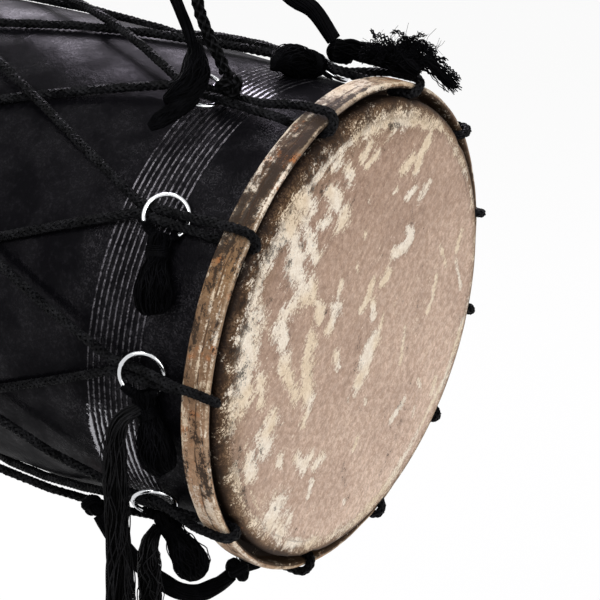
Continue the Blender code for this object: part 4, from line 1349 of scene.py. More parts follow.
@dataclass
class Lacing:
    """The rope that laces the two hoops together, and its knot."""

    angles: tuple = (22.8, 53.5, 81.2, 107.8, 136.5, 167.0, 200.2, 240.8, 279.0, 313.0, 346.2)
    step: int = 3
    first: int = 4
    stations: int = 6
    layer_change: float = 0.2
    wrap_turn: float = 54.0
    under_hoop: float = 0.0015
    over_hoop: float = 0.0035
    dive: float = 0.0155
    settle: float = 0.045
    bass_parting_behind: float = 0.075
    knot_depth: float = 0.033
    knot_radius: float = 0.0078
    rope: float = 0.0037
    clearance: float = 0.0004
    ring_radius: float = 0.01675
    ring_wire: float = 0.00175
    ring_clearance: float = 0.0007
    ring_travel: float = 0.008
    rings_behind: tuple = (0.057, 0.053, 0.057, 0.051, 0.059, 0.054, 0.057, 0.050, 0.040, 0.053, 0.092)
    seen_radius: float = 0.0041
    pitch: float = 0.022
    strand: float = 0.00132
    wave: float = 0.00036
    spacing: float = 0.001375
    window: int = 3
    pieces: int = 6

    @property
    def wraps(self) -> int:
        """Number of wraps on each hoop."""
        return len(self.angles)

    @property
    def low(self) -> float:
        """Height of a rope's middle over the barrel where it lies on it."""
        return self.rope + 2 * self.clearance

    @property
    def high(self) -> float:
        """Height of a rope's middle over the barrel where it crosses another."""
        return self.low + 2 * self.rope + 2 * self.clearance

    def treble(self, index: int) -> float:
        """Return the angle of a treble wrap, counted on past a full turn."""
        return self.angles[index % self.wraps] + 360 * (index // self.wraps)

    def bass(self, index: int) -> float:
        """Return the angle of a bass wrap, halfway between two treble wraps."""
        return (self.treble(index) + self.treble(index + 1)) / 2

    def ring_lift(self, x: float) -> float:
        """Return the rope's radius where a ring's wire lies under it."""
        return BODY.radius(x) + 2 * self.ring_wire + 2 * self.ring_clearance + self.rope

    def bass_lift(self, x: float) -> float:
        """Return the rope's radius beside the bass hoop."""
        return BODY.radius(x) + self.low

    def ring_depth(self, index: int) -> float:
        """Return the depth of a tuning ring's centre behind the treble face."""
        wrap = index % self.wraps
        return TREBLE.band_rear + TREBLE.set_back(self.angles[wrap]) + self.rings_behind[wrap]

    def parting(self, index: int) -> float:
        """Return the depth behind the treble face where a wrap's legs part."""
        return self.ring_depth(index) + self.ring_radius + self.ring_wire + self.ring_travel

    def wrap(self, end: End, angle: float, exit_depth: float, lift: object) -> list[tuple]:
        """Return the rope's points of one wrap.

        Args:
            end: The end of the drum.
            angle: The wrap's angle.
            exit_depth: Depth where its legs part.
            lift: The rope's radius by place along the axis.

        Returns:
            Points as (x, angle, radius).
        """
        spread = end.spread
        channel = end.edge_centre - end.bend_radius
        over = end.edge_centre + end.bend_radius
        back = end.set_back(angle)
        rear = end.band_rear + back
        front = end.edge_depth + back
        dive = rear + self.dive
        settle = rear + self.settle
        points = [(exit_depth, -spread, lift(end.face - exit_depth)), (dive, -spread, lift(end.face - dive)),
                  (rear + self.under_hoop, -spread, channel), (front, -spread, channel)]
        corner = end.bend_radius + GAP
        for index in range(4):
            turn = math.radians(-self.wrap_turn + 2 * self.wrap_turn * index / 3)
            radius = end.edge_centre + corner * math.sin(turn)
            share = math.sin(turn)
            points.append((front - corner * math.cos(turn), share * spread, radius))
        points += [(front, spread, over), (rear + self.over_hoop, spread, over),
                   (settle, spread, lift(end.face - settle)), (exit_depth, spread, lift(end.face - exit_depth))]
        return [(end.side * (end.face - depth), angle + turn, radius) for depth, turn, radius in points]

    def leg(self, start: tuple, end: tuple, height: object) -> list[tuple]:
        """Return the rope's points between two wraps."""
        points = []
        for index in range(1, self.stations + 1):
            share = index / (self.stations + 1)
            x = start[0] + (end[0] - start[0]) * share
            points.append((x, start[1] + (end[1] - start[1]) * share, BODY.radius(x) + height(share)))
        return points

    def high_leg(self, share: float) -> float:
        """Return the height of a leg that runs from the treble to the bass end."""
        ring = self.ring_lift(0.0) - BODY.radius(0.0)
        if share < self.layer_change:
            return ring + (self.high - ring) * share / self.layer_change
        if share > 1 - self.layer_change:
            return self.high + (self.low - self.high) * (share - 1 + self.layer_change) / self.layer_change
        return self.high

    def low_leg(self, share: float) -> float:
        """Return the height of a leg that runs from the bass to the treble end."""
        ring = self.ring_lift(0.0) - BODY.radius(0.0)
        if share > 1 - self.layer_change:
            return self.low + (ring - self.low) * (share - 1 + self.layer_change) / self.layer_change
        return self.low

    def bass_parting(self) -> float:
        """Return the depth behind the bass face where a wrap's legs part."""
        return BASS.band_rear + self.bass_parting_behind

    def knot_place(self) -> tuple[float, float, float]:
        """Return the knot's middle as (x, angle, radius)."""
        x = -(BASS.face - BASS.band_rear - self.knot_depth)
        aside = self.knot_radius + self.rope + 8 * GAP
        angle = self.bass(self.first) - BASS.spread + math.degrees(aside / BODY.radius(x))
        return x, angle, BODY.radius(x) + self.knot_radius + 2 * GAP

    def route(self) -> np.ndarray:
        """Return the rope's line from knot to knot."""
        index = self.first
        points = [self.wrap(BASS, self.bass(index), self.bass_parting(), self.bass_lift)[-1]]
        for _ in range(self.wraps):
            treble = index + self.step - 1
            near = self.wrap(TREBLE, self.treble(treble), self.parting(treble), self.ring_lift)
            points += self.leg(points[-1], near[0], self.low_leg)
            points += near
            index += self.step
            far = self.wrap(BASS, self.bass(index), self.bass_parting(), self.bass_lift)
            points += self.leg(near[-1], far[0], self.high_leg)
            points += far
        x, angle, radius = self.knot_place()
        start = (x + self.knot_radius * 0.6, angle, radius)
        stop = (x - self.knot_radius * 0.6, angle, radius)
        points = [start] + points[1:-2] + [stop]
        corners = np.array([tuple(BODY.at(*point)) for point in points])
        return Line.eased(Line.spaced(corners, self.spacing), self.window)

    def braid(self) -> Braid:
        """Return the rope's braid."""
        return Braid(self.seen_radius, self.pitch, self.strand, self.wave)

    def build(self) -> None:
        """Make the rope in a few lengths, and its knot."""
        line = Line(self.route())
        braid = self.braid()
        strands = braid.lines(line)
        cuts = np.linspace(0, len(line.points) - 1, self.pieces + 1).astype(int)
        LOG.info("lacing rope: %.2f m", line.length)
        for number, (low, high) in enumerate(zip(cuts, cuts[1:])):
            name = f"braided_rope_{number + 1:02d}"
            part = Bench.tubes(name, [strand[low:high + 1] for strand in strands], self.strand, 0)
            core = Bench.tubes(name + "_core", [line.points[low:high + 1:2]], braid.core_radius(), 1)
            Bench.fit(Bench.join(name, [part, core]), Slot.ROPE, "drum", "lacing_rope")
        x, angle, radius = self.knot_place()
        knot = trefoil(BODY.at(x, angle, radius), self.knot_radius + 0.001, 0.0033, BODY.radial(angle), 0.4)
        item = Braid(0.0033, 0.018, 0.0011, 0.0003).build("rope_end_knot", knot)
        Bench.fit(item, Slot.ROPE, "drum", "lacing_knot")


LACING = Lacing()


@dataclass
class TuningRings:
    """Plated wire rings that slide on the rope pairs at the treble end."""

    around: int = 96
    across: int = 14
    weld_at: float = 158.0
    weld_half: float = 7.0

    @staticmethod
    def frame(index: int) -> tuple[Vector, Vector, Vector, Vector]:
        """Return a ring's centre, slide, sideways and outward directions."""
        angle = LACING.angles[index]
        x = TREBLE.face - LACING.ring_depth(index)
        centre = BODY.at(x, angle, LACING.ring_lift(x))
        forward = (Vector((1.0, 0.0, 0.0)) + BODY.slope(x) * BODY.radial(angle)).normalized()
        side = BODY.around(angle)
        return centre, forward, side, side.cross(forward)

    @staticmethod
    def matrix(index: int) -> Matrix:
        """Return a ring's placement: it rises from its forward rim to its rear rim."""
        centre, forward, _, outward = TuningRings.frame(index)
        if outward.dot(BODY.radial(LACING.angles[index])) < 0:
            outward = -outward
        beside = LACING.rope + LACING.clearance
        reach = math.sqrt(LACING.ring_radius ** 2 - beside ** 2)
        tilt = math.asin((LACING.rope + LACING.ring_wire + LACING.ring_clearance) / reach)
        along = forward * math.cos(tilt) - outward * math.sin(tilt)
        normal = forward * math.sin(tilt) + outward * math.cos(tilt)
        turn = Matrix((along, normal.cross(along), normal)).transposed().to_4x4()
        return Matrix.Translation(centre) @ turn

    def model(self) -> bpy.types.Object:
        """Make one ring flat at the origin, with the swelling of its weld."""
        Bench.clear()
        bpy.ops.mesh.primitive_torus_add(
            major_radius=LACING.ring_radius, minor_radius=LACING.ring_wire,
            major_segments=self.around, minor_segments=self.across)
        ring = bpy.context.object
        for scale, half in ((1.10, self.weld_half), (1.09, self.weld_half * 0.6)):
            bpy.ops.object.mode_set(mode="EDIT")
            bpy.ops.mesh.select_all(action="DESELECT")
            bpy.ops.object.mode_set(mode="OBJECT")
            for vertex in ring.data.vertices:
                turn = math.degrees(math.atan2(vertex.co.y, vertex.co.x))
                vertex.select = abs(turn - self.weld_at) < half
            bpy.ops.object.mode_set(mode="EDIT")
            weld = math.radians(self.weld_at)
            middle = (LACING.ring_radius * math.cos(weld), LACING.ring_radius * math.sin(weld), 0.0)
            bpy.ops.transform.resize(value=(scale, 1.0, scale), center_override=middle)
            bpy.ops.object.mode_set(mode="OBJECT")
        Bench.smooth(ring, 80.0)
        return ring

    def build(self) -> None:
        """Make one ring for each rope pair, each with its own mesh."""
        model = self.model()
        for index in range(LACING.wraps):
            ring = bpy.data.objects.new(f"wire_ring_{index + 1:02d}", model.data.copy())
            bpy.context.scene.collection.objects.link(ring)
            ring.data.transform(self.matrix(index))
            Bench.fit(ring, Slot.CHROME, f"ring_{index + 1:02d}", f"tuning_ring_{index + 1:02d}")
        bpy.data.objects.remove(model, do_unlink=True)


WEAR = (
    (9.0, ((-104, 137), (-123, 121), (-137, 107), (-146, 89), (-153, 69))),
    (10.7, ((-97, 126), (-93, 105), (-88, 83), (-83, 66))), (8.3, ((-90, 69), (-105, 61), (-117, 53))),
    (5.7, ((-73, 77), (-68, 59), (-60, 40))), (6.6, ((-77, 117), (-73, 105), (-68, 95))),
    (8.3, ((-83, 147), (-73, 135), (-83, 129))), (7.8, ((-49, 141), (-39, 128), (-26, 114), (-31, 108))),
    (4.3, ((-64, 118), (-49, 117))),
    (3.3, ((-109, 142), (-83, 152), (-64, 158), (-45, 166), (-25, 171), (1, 173))),
    (7.1, ((1, 174), (27, 173), (54, 169), (82, 163), (106, 148))),
    (4.7, ((41, 165), (68, 160), (95, 148))),
    (3.8, ((106, 147), (128, 127), (145, 105), (160, 83), (171, 62))),
    (2.6, ((171, 62), (179, 39), (182, 14), (182, -12), (177, -38), (170, -72))),
    (5.2, ((95, 136), (84, 126), (77, 112))), (5.2, ((70, 127), (56, 121))), (4.3, ((97, 96), (84, 87))),
    (3.6, ((75, 98), (63, 96))), (2.1, ((47, 108), (43, 106))),
    (5.2, ((68, 65), (71, 55), (63, 50), (46, 54))), (5.7, ((-24, 150), (-19, 139))),
    (4.3, ((-4, 151), (6, 160))), (3.3, ((17, 148), (2, 144))), (4.3, ((-44, 157), (-35, 161))),
    (4.7, ((38, 37), (30, 33))), (3.3, ((-9, 62), (-9, 59))), (3.8, ((14, 40), (8, 27), (-3, 22))),
    (3.3, ((14, 22), (17, 7))), (2.1, ((116, 3), (111, -14), (103, -26))), (3.3, ((156, 30), (149, 16))),
    (1.7, ((120, 31), (131, 8))), (2.1, ((149, 4), (159, -25))), (1.9, ((31, 4), (27, -6))),
    (6.2, ((-37, 38), (-48, 25))), (1.9, ((5, 114), (7, 111))), (1.9, ((2, 88), (1, 84))),
    (2.1, ((-31, 58), (-36, 46))), (13.8, ((-149, 74), (-155, 60), (-157, 46))),
    (11.4, ((-158, 46), (-159, 30), (-157, 12))), (6.6, ((-140, 21), (-138, 1))),
    (4.7, ((-175, 26), (-175, 11), (-175, -3))), (5.7, ((-109, 54), (-107, 42), (-112, 38))),
    (7.8, ((-73, 22), (-79, 9), (-78, -8), (-75, -26))),
    (6.6, ((-105, 23), (-109, 17), (-100, 1), (-94, -12))), (4.5, ((-75, -34), (-83, -44))),
    (7.1, ((18, -15), (7, -26), (2, -40), (-4, -46))), (2.8, ((7, -66), (7, -69))),
    (2.1, ((-20, -52), (-20, -54))), (5.2, ((-38, -2), (-35, -15))),
    (2.1, ((67, -25), (63, -42), (60, -55))), (3.1, ((68, -96), (56, -102), (47, -106))),
    (3.6, ((121, -99), (115, -110))), (1.9, ((91, -86), (95, -95))),
    (9.5, ((-125, -20), (-134, -28), (-134, -41))), (6.2, ((-93, -69), (-83, -84), (-75, -79))),
    (4.7, ((-57, -86), (-67, -91))), (4.3, ((-115, -58), (-115, -64))), (3.1, ((-71, -103), (-77, -115))),
    (13.8, ((-123, -101), (-128, -110), (-118, -126))), (8.5, ((-148, -103), (-138, -122), (-119, -141))),
    (5.2, ((-106, -114), (-103, -122))), (6.6, ((-119, -139), (-88, -159), (-58, -172), (-34, -177))),
    (3.8, ((-34, -177), (0, -180), (29, -173), (59, -161), (88, -144))),
    (3.1, ((88, -144), (115, -123), (140, -105), (157, -75), (167, -61))),
    (4.3, ((-172, -38), (-170, -58), (-159, -88), (-141, -117))), (6.6, ((-155, -40), (-151, -57))),
    (1.2, ((-161, -39), (-156, -63), (-142, -94))), (2.1, ((-5, -97), (-10, -105))),
    (1.9, ((87, -111), (84, -119))), (1.9, ((-23, -147), (-23, -150))),
)
STAINS = (
    (4.7, ((-83, 159), (-69, 163))), (3.0, ((-39, 143), (-30, 139))), (3.2, ((32, 166), (50, 160))),
    (3.8, ((122, 137), (128, 131))), (4.3, ((-64, 140), (-54, 144))),
    (3.3, ((-161, -64), (-159, -81))), (3.1, ((-111, -143), (-108, -146))),
    (2.4, ((-89, -158), (-88, -160))), (2.8, ((-166, -16), (-165, -26))),
)

TREBLE_LOOK = (
    (0, (0.36, 0.28, 0.21), 0.56, 0.40, 0.10), (12, (0.34, 0.24, 0.16), 0.45, 0.35, 0.35),
    (20, (0.33, 0.20, 0.10), 0.35, 0.35, 0.60), (26, (0.22, 0.15, 0.10), 0.30, 0.45, 0.20),
    (45, (0.16, 0.10, 0.07), 0.25, 0.50, 0.10), (70, (0.20, 0.13, 0.085), 0.35, 0.42, 0.10),
    (110, (0.26, 0.18, 0.12), 0.30, 0.35, 0.15), (150, (0.30, 0.20, 0.13), 0.30, 0.30, 0.10),
    (185, (0.30, 0.20, 0.12), 0.22, 0.22, 0.10), (200, (0.36, 0.24, 0.14), 0.24, 0.12, 0.05),
    (225, (0.44, 0.29, 0.19), 0.30, 0.20, 0.08), (240, (0.46, 0.31, 0.20), 0.34, 0.24, 0.10),
    (255, (0.45, 0.30, 0.19), 0.32, 0.26, 0.20), (270, (0.31, 0.195, 0.12), 0.26, 0.32, 0.30),
    (285, (0.20, 0.125, 0.075), 0.16, 0.32, 0.20), (298, (0.20, 0.125, 0.072), 0.18, 0.36, 0.30),
    (306, (0.22, 0.13, 0.065), 0.24, 0.40, 0.50), (313, (0.20, 0.13, 0.075), 0.34, 0.46, 0.30),
    (322, (0.13, 0.090, 0.060), 0.34, 0.56, 0.15), (331, (0.085, 0.048, 0.027), 0.20, 0.50, 0.60),
    (338, (0.075, 0.048, 0.030), 0.24, 0.54, 0.50), (346, (0.10, 0.075, 0.055), 0.28, 0.54, 0.15),
    (353, (0.26, 0.21, 0.17), 0.46, 0.46, 0.05),
)
BASS_LOOK = (
    (0, (0.36, 0.25, 0.17), 0.35, 0.30, 0.10), (60, (0.28, 0.19, 0.12), 0.30, 0.40, 0.15),
    (120, (0.38, 0.27, 0.18), 0.38, 0.25, 0.05), (180, (0.32, 0.22, 0.14), 0.28, 0.35, 0.20),
    (240, (0.36, 0.26, 0.17), 0.42, 0.30, 0.05), (300, (0.30, 0.20, 0.13), 0.32, 0.38, 0.15),
)


def placed(rows: tuple) -> np.ndarray:
    """Return points given in millimetres from the drum's middle as places in metres."""
    return np.array(rows, float) / 1000 - np.array((0.0, 0.0, BODY.drop))


def ball_exit(centre: Vector, radius: float, towards: Vector) -> Vector:
    """Return the point just outside a knot, on the line from its middle to another point."""
    return centre + (towards - centre).normalized() * (radius + GAP)


def offsets(base: Vector, rows: tuple) -> list[Vector]:
    """Return points given as offsets from another point."""
    return [base + Vector(row) for row in rows]


def over_barrel(rows: tuple) -> list[Vector]:
    """Return points given as depth behind the treble face, angle, and height over the barrel."""
    return [BODY.at(TREBLE.face - depth, angle, BODY.radius(TREBLE.face - depth) + height)
            for depth, angle, height in rows]


def crimped(points: np.ndarray, coil: float, pitch: float, phase: float, spacing: float = 0.0007) -> np.ndarray:
    """Curl a thread round its own line, as unravelled yarn does.

    Args:
        points: The thread's line.
        coil: Radius of its curls.
        pitch: Length of one curl.
        phase: Turn at its start, in radians.
        spacing: Distance between the new points.

    Returns:
        The curled points.
    """
    line = Line(Line.flowing([tuple(point) for point in points], spacing))
    share = line.reach / max(line.length, 1e-9)
    grow = coil * np.clip(share * 6, 0.15, 1.0)
    wobble = 1 + 0.35 * np.sin(5.1 * share + phase) + 0.2 * np.sin(13.7 * share + 2 * phase)
    return line.offset(grow * wobble, phase + 2 * math.pi * line.reach / pitch)


@dataclass
class Hanks:
    """Yarn hanks looped round the wire of the tuning rings."""

    radius: float = 0.0130
    offset: float = -0.0030
    sides: tuple = (-1, 1, 1, 1, 1, 1, -1, -1, -1, -1)
    lengths: tuple = (0.056, 0.052, 0.052, 0.064, 0.064, 0.062, 0.028, 0.048, 0.060, 0.056)
    drifts: tuple = (-0.010, 0.002, 0.004, 0.000, 0.004, 0.002, 0.026, 0.038, 0.022, 0.018)
    form: tuple = ((0.00, 0.42), (0.05, 0.58), (0.20, 0.60), (0.36, 0.55), (0.54, 0.85), (0.72, 1.00),
                   (0.87, 0.90), (0.96, 0.60), (1.00, 0.25))
    long_form: tuple = ((0.00, 0.50), (0.05, 0.66), (0.20, 0.80), (0.40, 0.92), (0.60, 0.92), (0.78, 0.74),
                        (0.88, 0.48), (0.96, 0.22), (1.00, 0.10))
    long_ones: tuple = (0,)
    flank: float = 90.0
    flank_margin: float = 10.0
    fullness: float = 1.12
    slim_index: int = 5
    slim: float = 0.86
    threads: int = 128
    thread: float = 0.00048
    spacing: float = 0.0026
    loops: int = 60
    loop_half: float = 52.0
    collar_turns: int = 7
    collar_thread: float = 0.0006

    def hang(self, x: float, angle: float, height: float, index: int) -> list[Vector]:
        """Return points that run round the barrel from a place on it, then down past its flank.

        Args:
            x: Place along the axis.
            angle: Angle of the hank's start.
            height: Its height over the barrel.
            index: The hank's number.

        Returns:
            The hank's route.
        """
        length = self.lengths[index]
        points = []
        base = None
        for number, (share, factor) in enumerate(self.form):
            drop = length * share
            clear = factor * self.radius + 2 * GAP + LACING.clearance
            shift = x + self.drifts[index] * share
            radius = BODY.radius(shift) + max(height, clear)
            turn = angle + self.sides[index] * math.degrees(drop / radius)
            from_top = min(turn % 360, 360 - turn % 360)
            if base is None and (from_top <= self.flank or not points):
                points.append(BODY.at(shift, turn, radius))
                base = (drop, points[-1]) if from_top > self.flank else None
                continue
            if base is None:
                base = (length * self.form[number - 1][0], points[-1])
            beside = radius if from_top < self.flank + self.flank_margin else 0.0
            flank = math.copysign(max(abs(base[1].y), beside), base[1].y)
            points.append(Vector((shift, flank, base[1].z - (drop - base[0]))))
        return points

    def route(self, index: int) -> list[Vector]:
        """Return a hank's route from its ring's wire."""
        angle = LACING.angles[index]
        x = TREBLE.face - LACING.ring_depth(index)
        reach = LACING.ring_radius + self.offset
        start = BODY.at(x, angle, LACING.ring_lift(x)) + self.sides[index] * BODY.around(angle) * reach
        turn = math.degrees(math.atan2(start.y, start.z + BODY.drop)) % 360
        height = math.hypot(start.y, start.z + BODY.drop) - BODY.radius(x)
        return self.hang(x, turn, height, index)

    def head_loops(self, index: int, neck: Vector, towards: Vector) -> list[np.ndarray]:
        """Lay the loops that hold a hank on its ring.

        Args:
            index: The hank's number.
            neck: Middle of the hank's neck.
            towards: A point further down the hank.

        Returns:
            The loops' points.
        """
        random = np.random.default_rng(500 + index)
        frame_rows = TuningRings.matrix(index)
        normal = frame_rows.to_3x3() @ Vector((0.0, 0.0, 1.0))
        along = (towards - neck).normalized()
        across = along.cross(normal).normalized()
        lines = []
        for number in range(self.loops):
            share = 2 * (number + random.uniform(0.2, 0.8)) / self.loops - 1
            turn = math.radians(self.sides[index] * 90 + self.loop_half * share)
            wire = frame_rows @ Vector((LACING.ring_radius * math.cos(turn), LACING.ring_radius * math.sin(turn), 0.0))
            outward = (frame_rows.to_3x3() @ Vector((math.cos(turn), math.sin(turn), 0.0))).normalized()
            loose = LACING.ring_wire + self.thread * random.uniform(1.2, 4.2)
            inner = -outward * loose * random.uniform(1.0, 1.5)
            spot = across * (share * 0.0045 * (1 if across.dot(wire - neck) * share > 0 else -1))
            high = neck + spot + normal * random.uniform(0.001, 0.0045)
            low = neck + spot - normal * random.uniform(0.001, 0.0035)
            start = high + along * 0.006
            stop = low + along * 0.006
            points = [start, high, wire + outward * 0.002 + normal * loose, wire + normal * loose * 0.9 + inner * 0.5,
                      wire + inner, wire - normal * loose * 0.8 + inner * 0.4, wire + outward * 0.002 - normal * loose,
                      low, stop]
            lines.append(Line.flowing(points, 0.0014))
        return lines

    def collar(self, line: Line, swell: np.ndarray, start: float, stop: float) -> list[np.ndarray]:
        """Wind thread round a hank's neck.

        Args:
            line: The hank's line.
            swell: Radius at each point.
            start: Share of its length where the winding starts.
            stop: Share where it ends.

        Returns:
            The winding's points.
        """
        steps = np.linspace(start, stop, 16 * self.collar_turns)
        share = line.reach / line.length
        middle = np.stack([np.interp(steps, share, line.points[:, axis]) for axis in range(3)], axis=1)
        across = np.stack([np.interp(steps, share, line.across[:, axis]) for axis in range(3)], axis=1)
        up = np.stack([np.interp(steps, share, line.up[:, axis]) for axis in range(3)], axis=1)
        radius = np.interp(steps, share, swell)[:, None]
        turn = np.linspace(0, 2 * math.pi * self.collar_turns, len(steps))[:, None]
        return [middle + radius * (np.cos(turn) * across + np.sin(turn) * up)]

    def build(self) -> None:
        """Make every hank."""
        for index in range(len(self.sides)):
            name = f"looped_hank_{index + 1:02d}"
            route = self.route(index)
            line = Line(Line.flowing(route, self.spacing))
            form = self.long_form if index in self.long_ones else self.form
            swell = np.interp(line.reach / line.length, [row[0] for row in form], [row[1] for row in form])
            radius = self.radius * self.fullness * (self.slim if index == self.slim_index else 1.0)
            bundle = Bundle(radius, self.threads, self.thread, 40 + index, 9.0, 0.26, 0.16, 0.05)
            body = bundle.build(name, line, swell)
            loops = Bench.tubes(name + "_loops", self.head_loops(index, route[1], route[3]), self.thread, 0)
            wound = Bench.tubes(name + "_collar",
                                self.collar(line, swell * radius, 0.17, 0.30),
                                self.collar_thread, 0)
            item = Bench.join(name, [body, loops, wound])
            Bench.fit(item, Slot.YARN, f"ring_{index + 1:02d}", f"yarn_hank_{index + 1:02d}")


HANKS = Hanks()


@dataclass
class LongTassels:
    """The two long bundles of yarn that hang from hanks at the front."""

    radius: float = 0.0100
    first: tuple = ((0.0023, -0.0070, -0.0103), (-0.0037, -0.0210, -0.0173), (-0.0087, -0.0225, -0.0473),
                    (-0.0107, -0.0215, -0.1013), (-0.0127, -0.0215, -0.2023))
    first_form: tuple = (0.5, 0.95, 0.95, 1.0, 1.15, 1.30)
    second: tuple = ((0.0008, -0.0058, -0.0113), (0.0043, -0.0208, -0.0193), (0.0063, -0.0248, -0.0413),
                     (0.0063, -0.0238, -0.0813))
    second_form: tuple = (0.5, 0.95, 1.0, 1.15)
    threads: int = 110
    thread: float = 0.00052
    spacing: float = 0.0036

    def make(self, name: str, node: str, carrier: int, rows: tuple, form: tuple, seed: int) -> None:
        """Make one tassel.

        Args:
            name: The piece's name.
            node: The node that it replaces.
            carrier: Number of the hank that carries it.
            rows: Its route from the start of that hank.
            form: Radius factors along it.
            seed: Seed of its threads.
        """
        route = offsets(HANKS.route(carrier)[0], rows)
        line = Line(Line.flowing(route, self.spacing))
        swell = profile_along(len(line.points), form)
        outer = Bundle(self.radius, self.threads, self.thread, seed, 6.0, 0.55, 0.42, 0.22)
        item = outer.build(name, line, swell)
        Bench.fit(item, Slot.YARN, f"ring_{carrier + 1:02d}", node)
        # The tassel takes the lighter copy of the yarn, with its dust and painted light.
        item.data.materials[0] = DUST_AND_SHEEN_YARN

    def build(self) -> None:
        """Make both tassels."""
        self.make("hanging_tassel_a", "long_tassel_a", 8, self.first, self.first_form, 71)
        self.make("hanging_tassel_b", "long_tassel_b", 7, self.second, self.second_form, 72)


@dataclass
class FrayedTassel:
    """The tuft of unravelled yarn over the treble hoop, at the end of the soft cord's knot."""

    thread: float = 0.00042
    lap_rest: float = 0.2072
    bundle: tuple = ((243, 60, 209), (252, 66, 208), (262, 70, 206), (276, 72, 205), (290, 74, 204), (304, 75, 201),
                     (312, 76, 198))
    curls: tuple = (
        ((293, 73, 215), (288, 72, 218), (282, 70, 222), (278, 68, 223), (277, 66, 221)),
        ((293, 73, 214), (287, 71, 218), (280, 67, 219), (276, 64, 218), (274, 60, 216)),
        ((277, 66, 221), (275, 66, 225), (272, 67, 227)),
        ((299, 79, 219), (295, 79, 223), (290, 78, 226), (286, 75, 226)),
        ((300, 81, 219), (302, 84, 221), (305, 86, 223), (308, 89, 223)),
        ((302, 81, 218), (306, 85, 219), (309, 87, 219), (312, 87, 216)),
        ((309, 84, 215), (312, 86, 215), (314, 88, 216), (315, 89, 217)),
        ((318, 85, 207), (321, 88, 207), (324, 90, 207), (327, 91, 206)),
        ((319, 86, 206), (324, 88, 205), (330, 90, 200), (335, 91, 196)),
        ((311, 77, 201), (316, 79, 198), (321, 81, 196), (324, 84, 197)),
        ((332, 89, 197), (336, 91, 195), (339, 92, 193)))
    lumps: tuple = (
        ((273, 54, 206), (275, 58, 211), (279, 62, 212), (283, 63, 208), (282, 58, 204)),
        ((282, 62, 208), (284, 66, 213), (289, 70, 214), (295, 72, 211), (294, 68, 205)),
        ((297, 70, 206), (295, 75, 215), (299, 79, 218), (303, 80, 215), (304, 76, 206)),
        ((303, 77, 210), (307, 83, 215), (313, 86, 213), (317, 87, 210), (315, 81, 204)),
        ((299, 70, 204), (303, 76, 210), (309, 80, 210), (312, 80, 206), (312, 78, 201)))
    tuft: tuple = ((300, 72, 206), (299, 75, 212), (297, 78, 218))
    brush: tuple = ((304, 77, 205), (312, 81, 206), (320, 83, 202), (329, 85, 195), (337, 87, 189))

    def build(self) -> None:
        """Make the tuft from its bundle, curls, lumps and brush."""
        random = np.random.default_rng(90)
        base = Line(Line.flowing([tuple(row) for row in placed(self.bundle)], 0.0022))
        swell = profile_along(len(base.points), (0.6, 0.95, 1.0, 1.0, 1.05, 1.0, 0.7))
        parts = [Bundle(0.0085, 90, self.thread, 91, 5.0, 0.35, 0.3, 0.15).build("frayed_tuft", base, swell)]
        threads = []
        for row in self.lumps:
            middle = placed(row)
            for _ in range(26):
                shift = random.normal(0, 0.0019, 3)
                threads.append(crimped(middle + shift, random.uniform(0.0006, 0.0017),
                                       random.uniform(0.0035, 0.006), random.uniform(0, 6.28)))
        for row in self.curls:
            middle = placed(row)
            for _ in range(5):
                shift = random.normal(0, 0.0007, 3)
                threads.append(crimped(middle + shift, random.uniform(0.0004, 0.0011),
                                       random.uniform(0.003, 0.005), random.uniform(0, 6.28)))
        for _ in range(30):
            middle = placed(self.tuft) + random.normal(0, 0.0014, 3)
            threads.append(crimped(middle, random.uniform(0.0005, 0.0012), 0.004, random.uniform(0, 6.28)))
        brush = placed(self.brush)
        for _ in range(90):
            fan = np.linspace(0.6, 1.3, len(brush))[:, None]
            cut = random.uniform(0.90, 1.04)
            line = brush + random.normal(0, 0.0024, 3) * fan
            line[-1] = line[-2] + (line[-1] - line[-2]) * cut
            threads.append(crimped(line, 0.0004, random.uniform(0.006, 0.012), random.uniform(0, 6.28), 0.0014))
        parts.append(Bench.tubes("tuft_threads", threads, self.thread, 0))
        hairs = []
        for _ in range(70):
            root = placed((self.lumps[random.integers(5)][2],))[0]
            way = random.normal(0, 1, 3) + np.array((0.1, 0.3, 0.9))
            way = way / np.linalg.norm(way) * random.uniform(0.006, 0.019)
            bend = random.normal(0, 0.0025, 3)
            hairs.append(Line.flowing([tuple(root), tuple(root + way * 0.5 + bend), tuple(root + way)], 0.0012))
        parts.append(Bench.tubes("tuft_hairs", hairs, 0.00014, 0))
        Bench.fit(Bench.join("frayed_tuft", parts), Slot.YARN, "drum", "top_frayed_tassel")


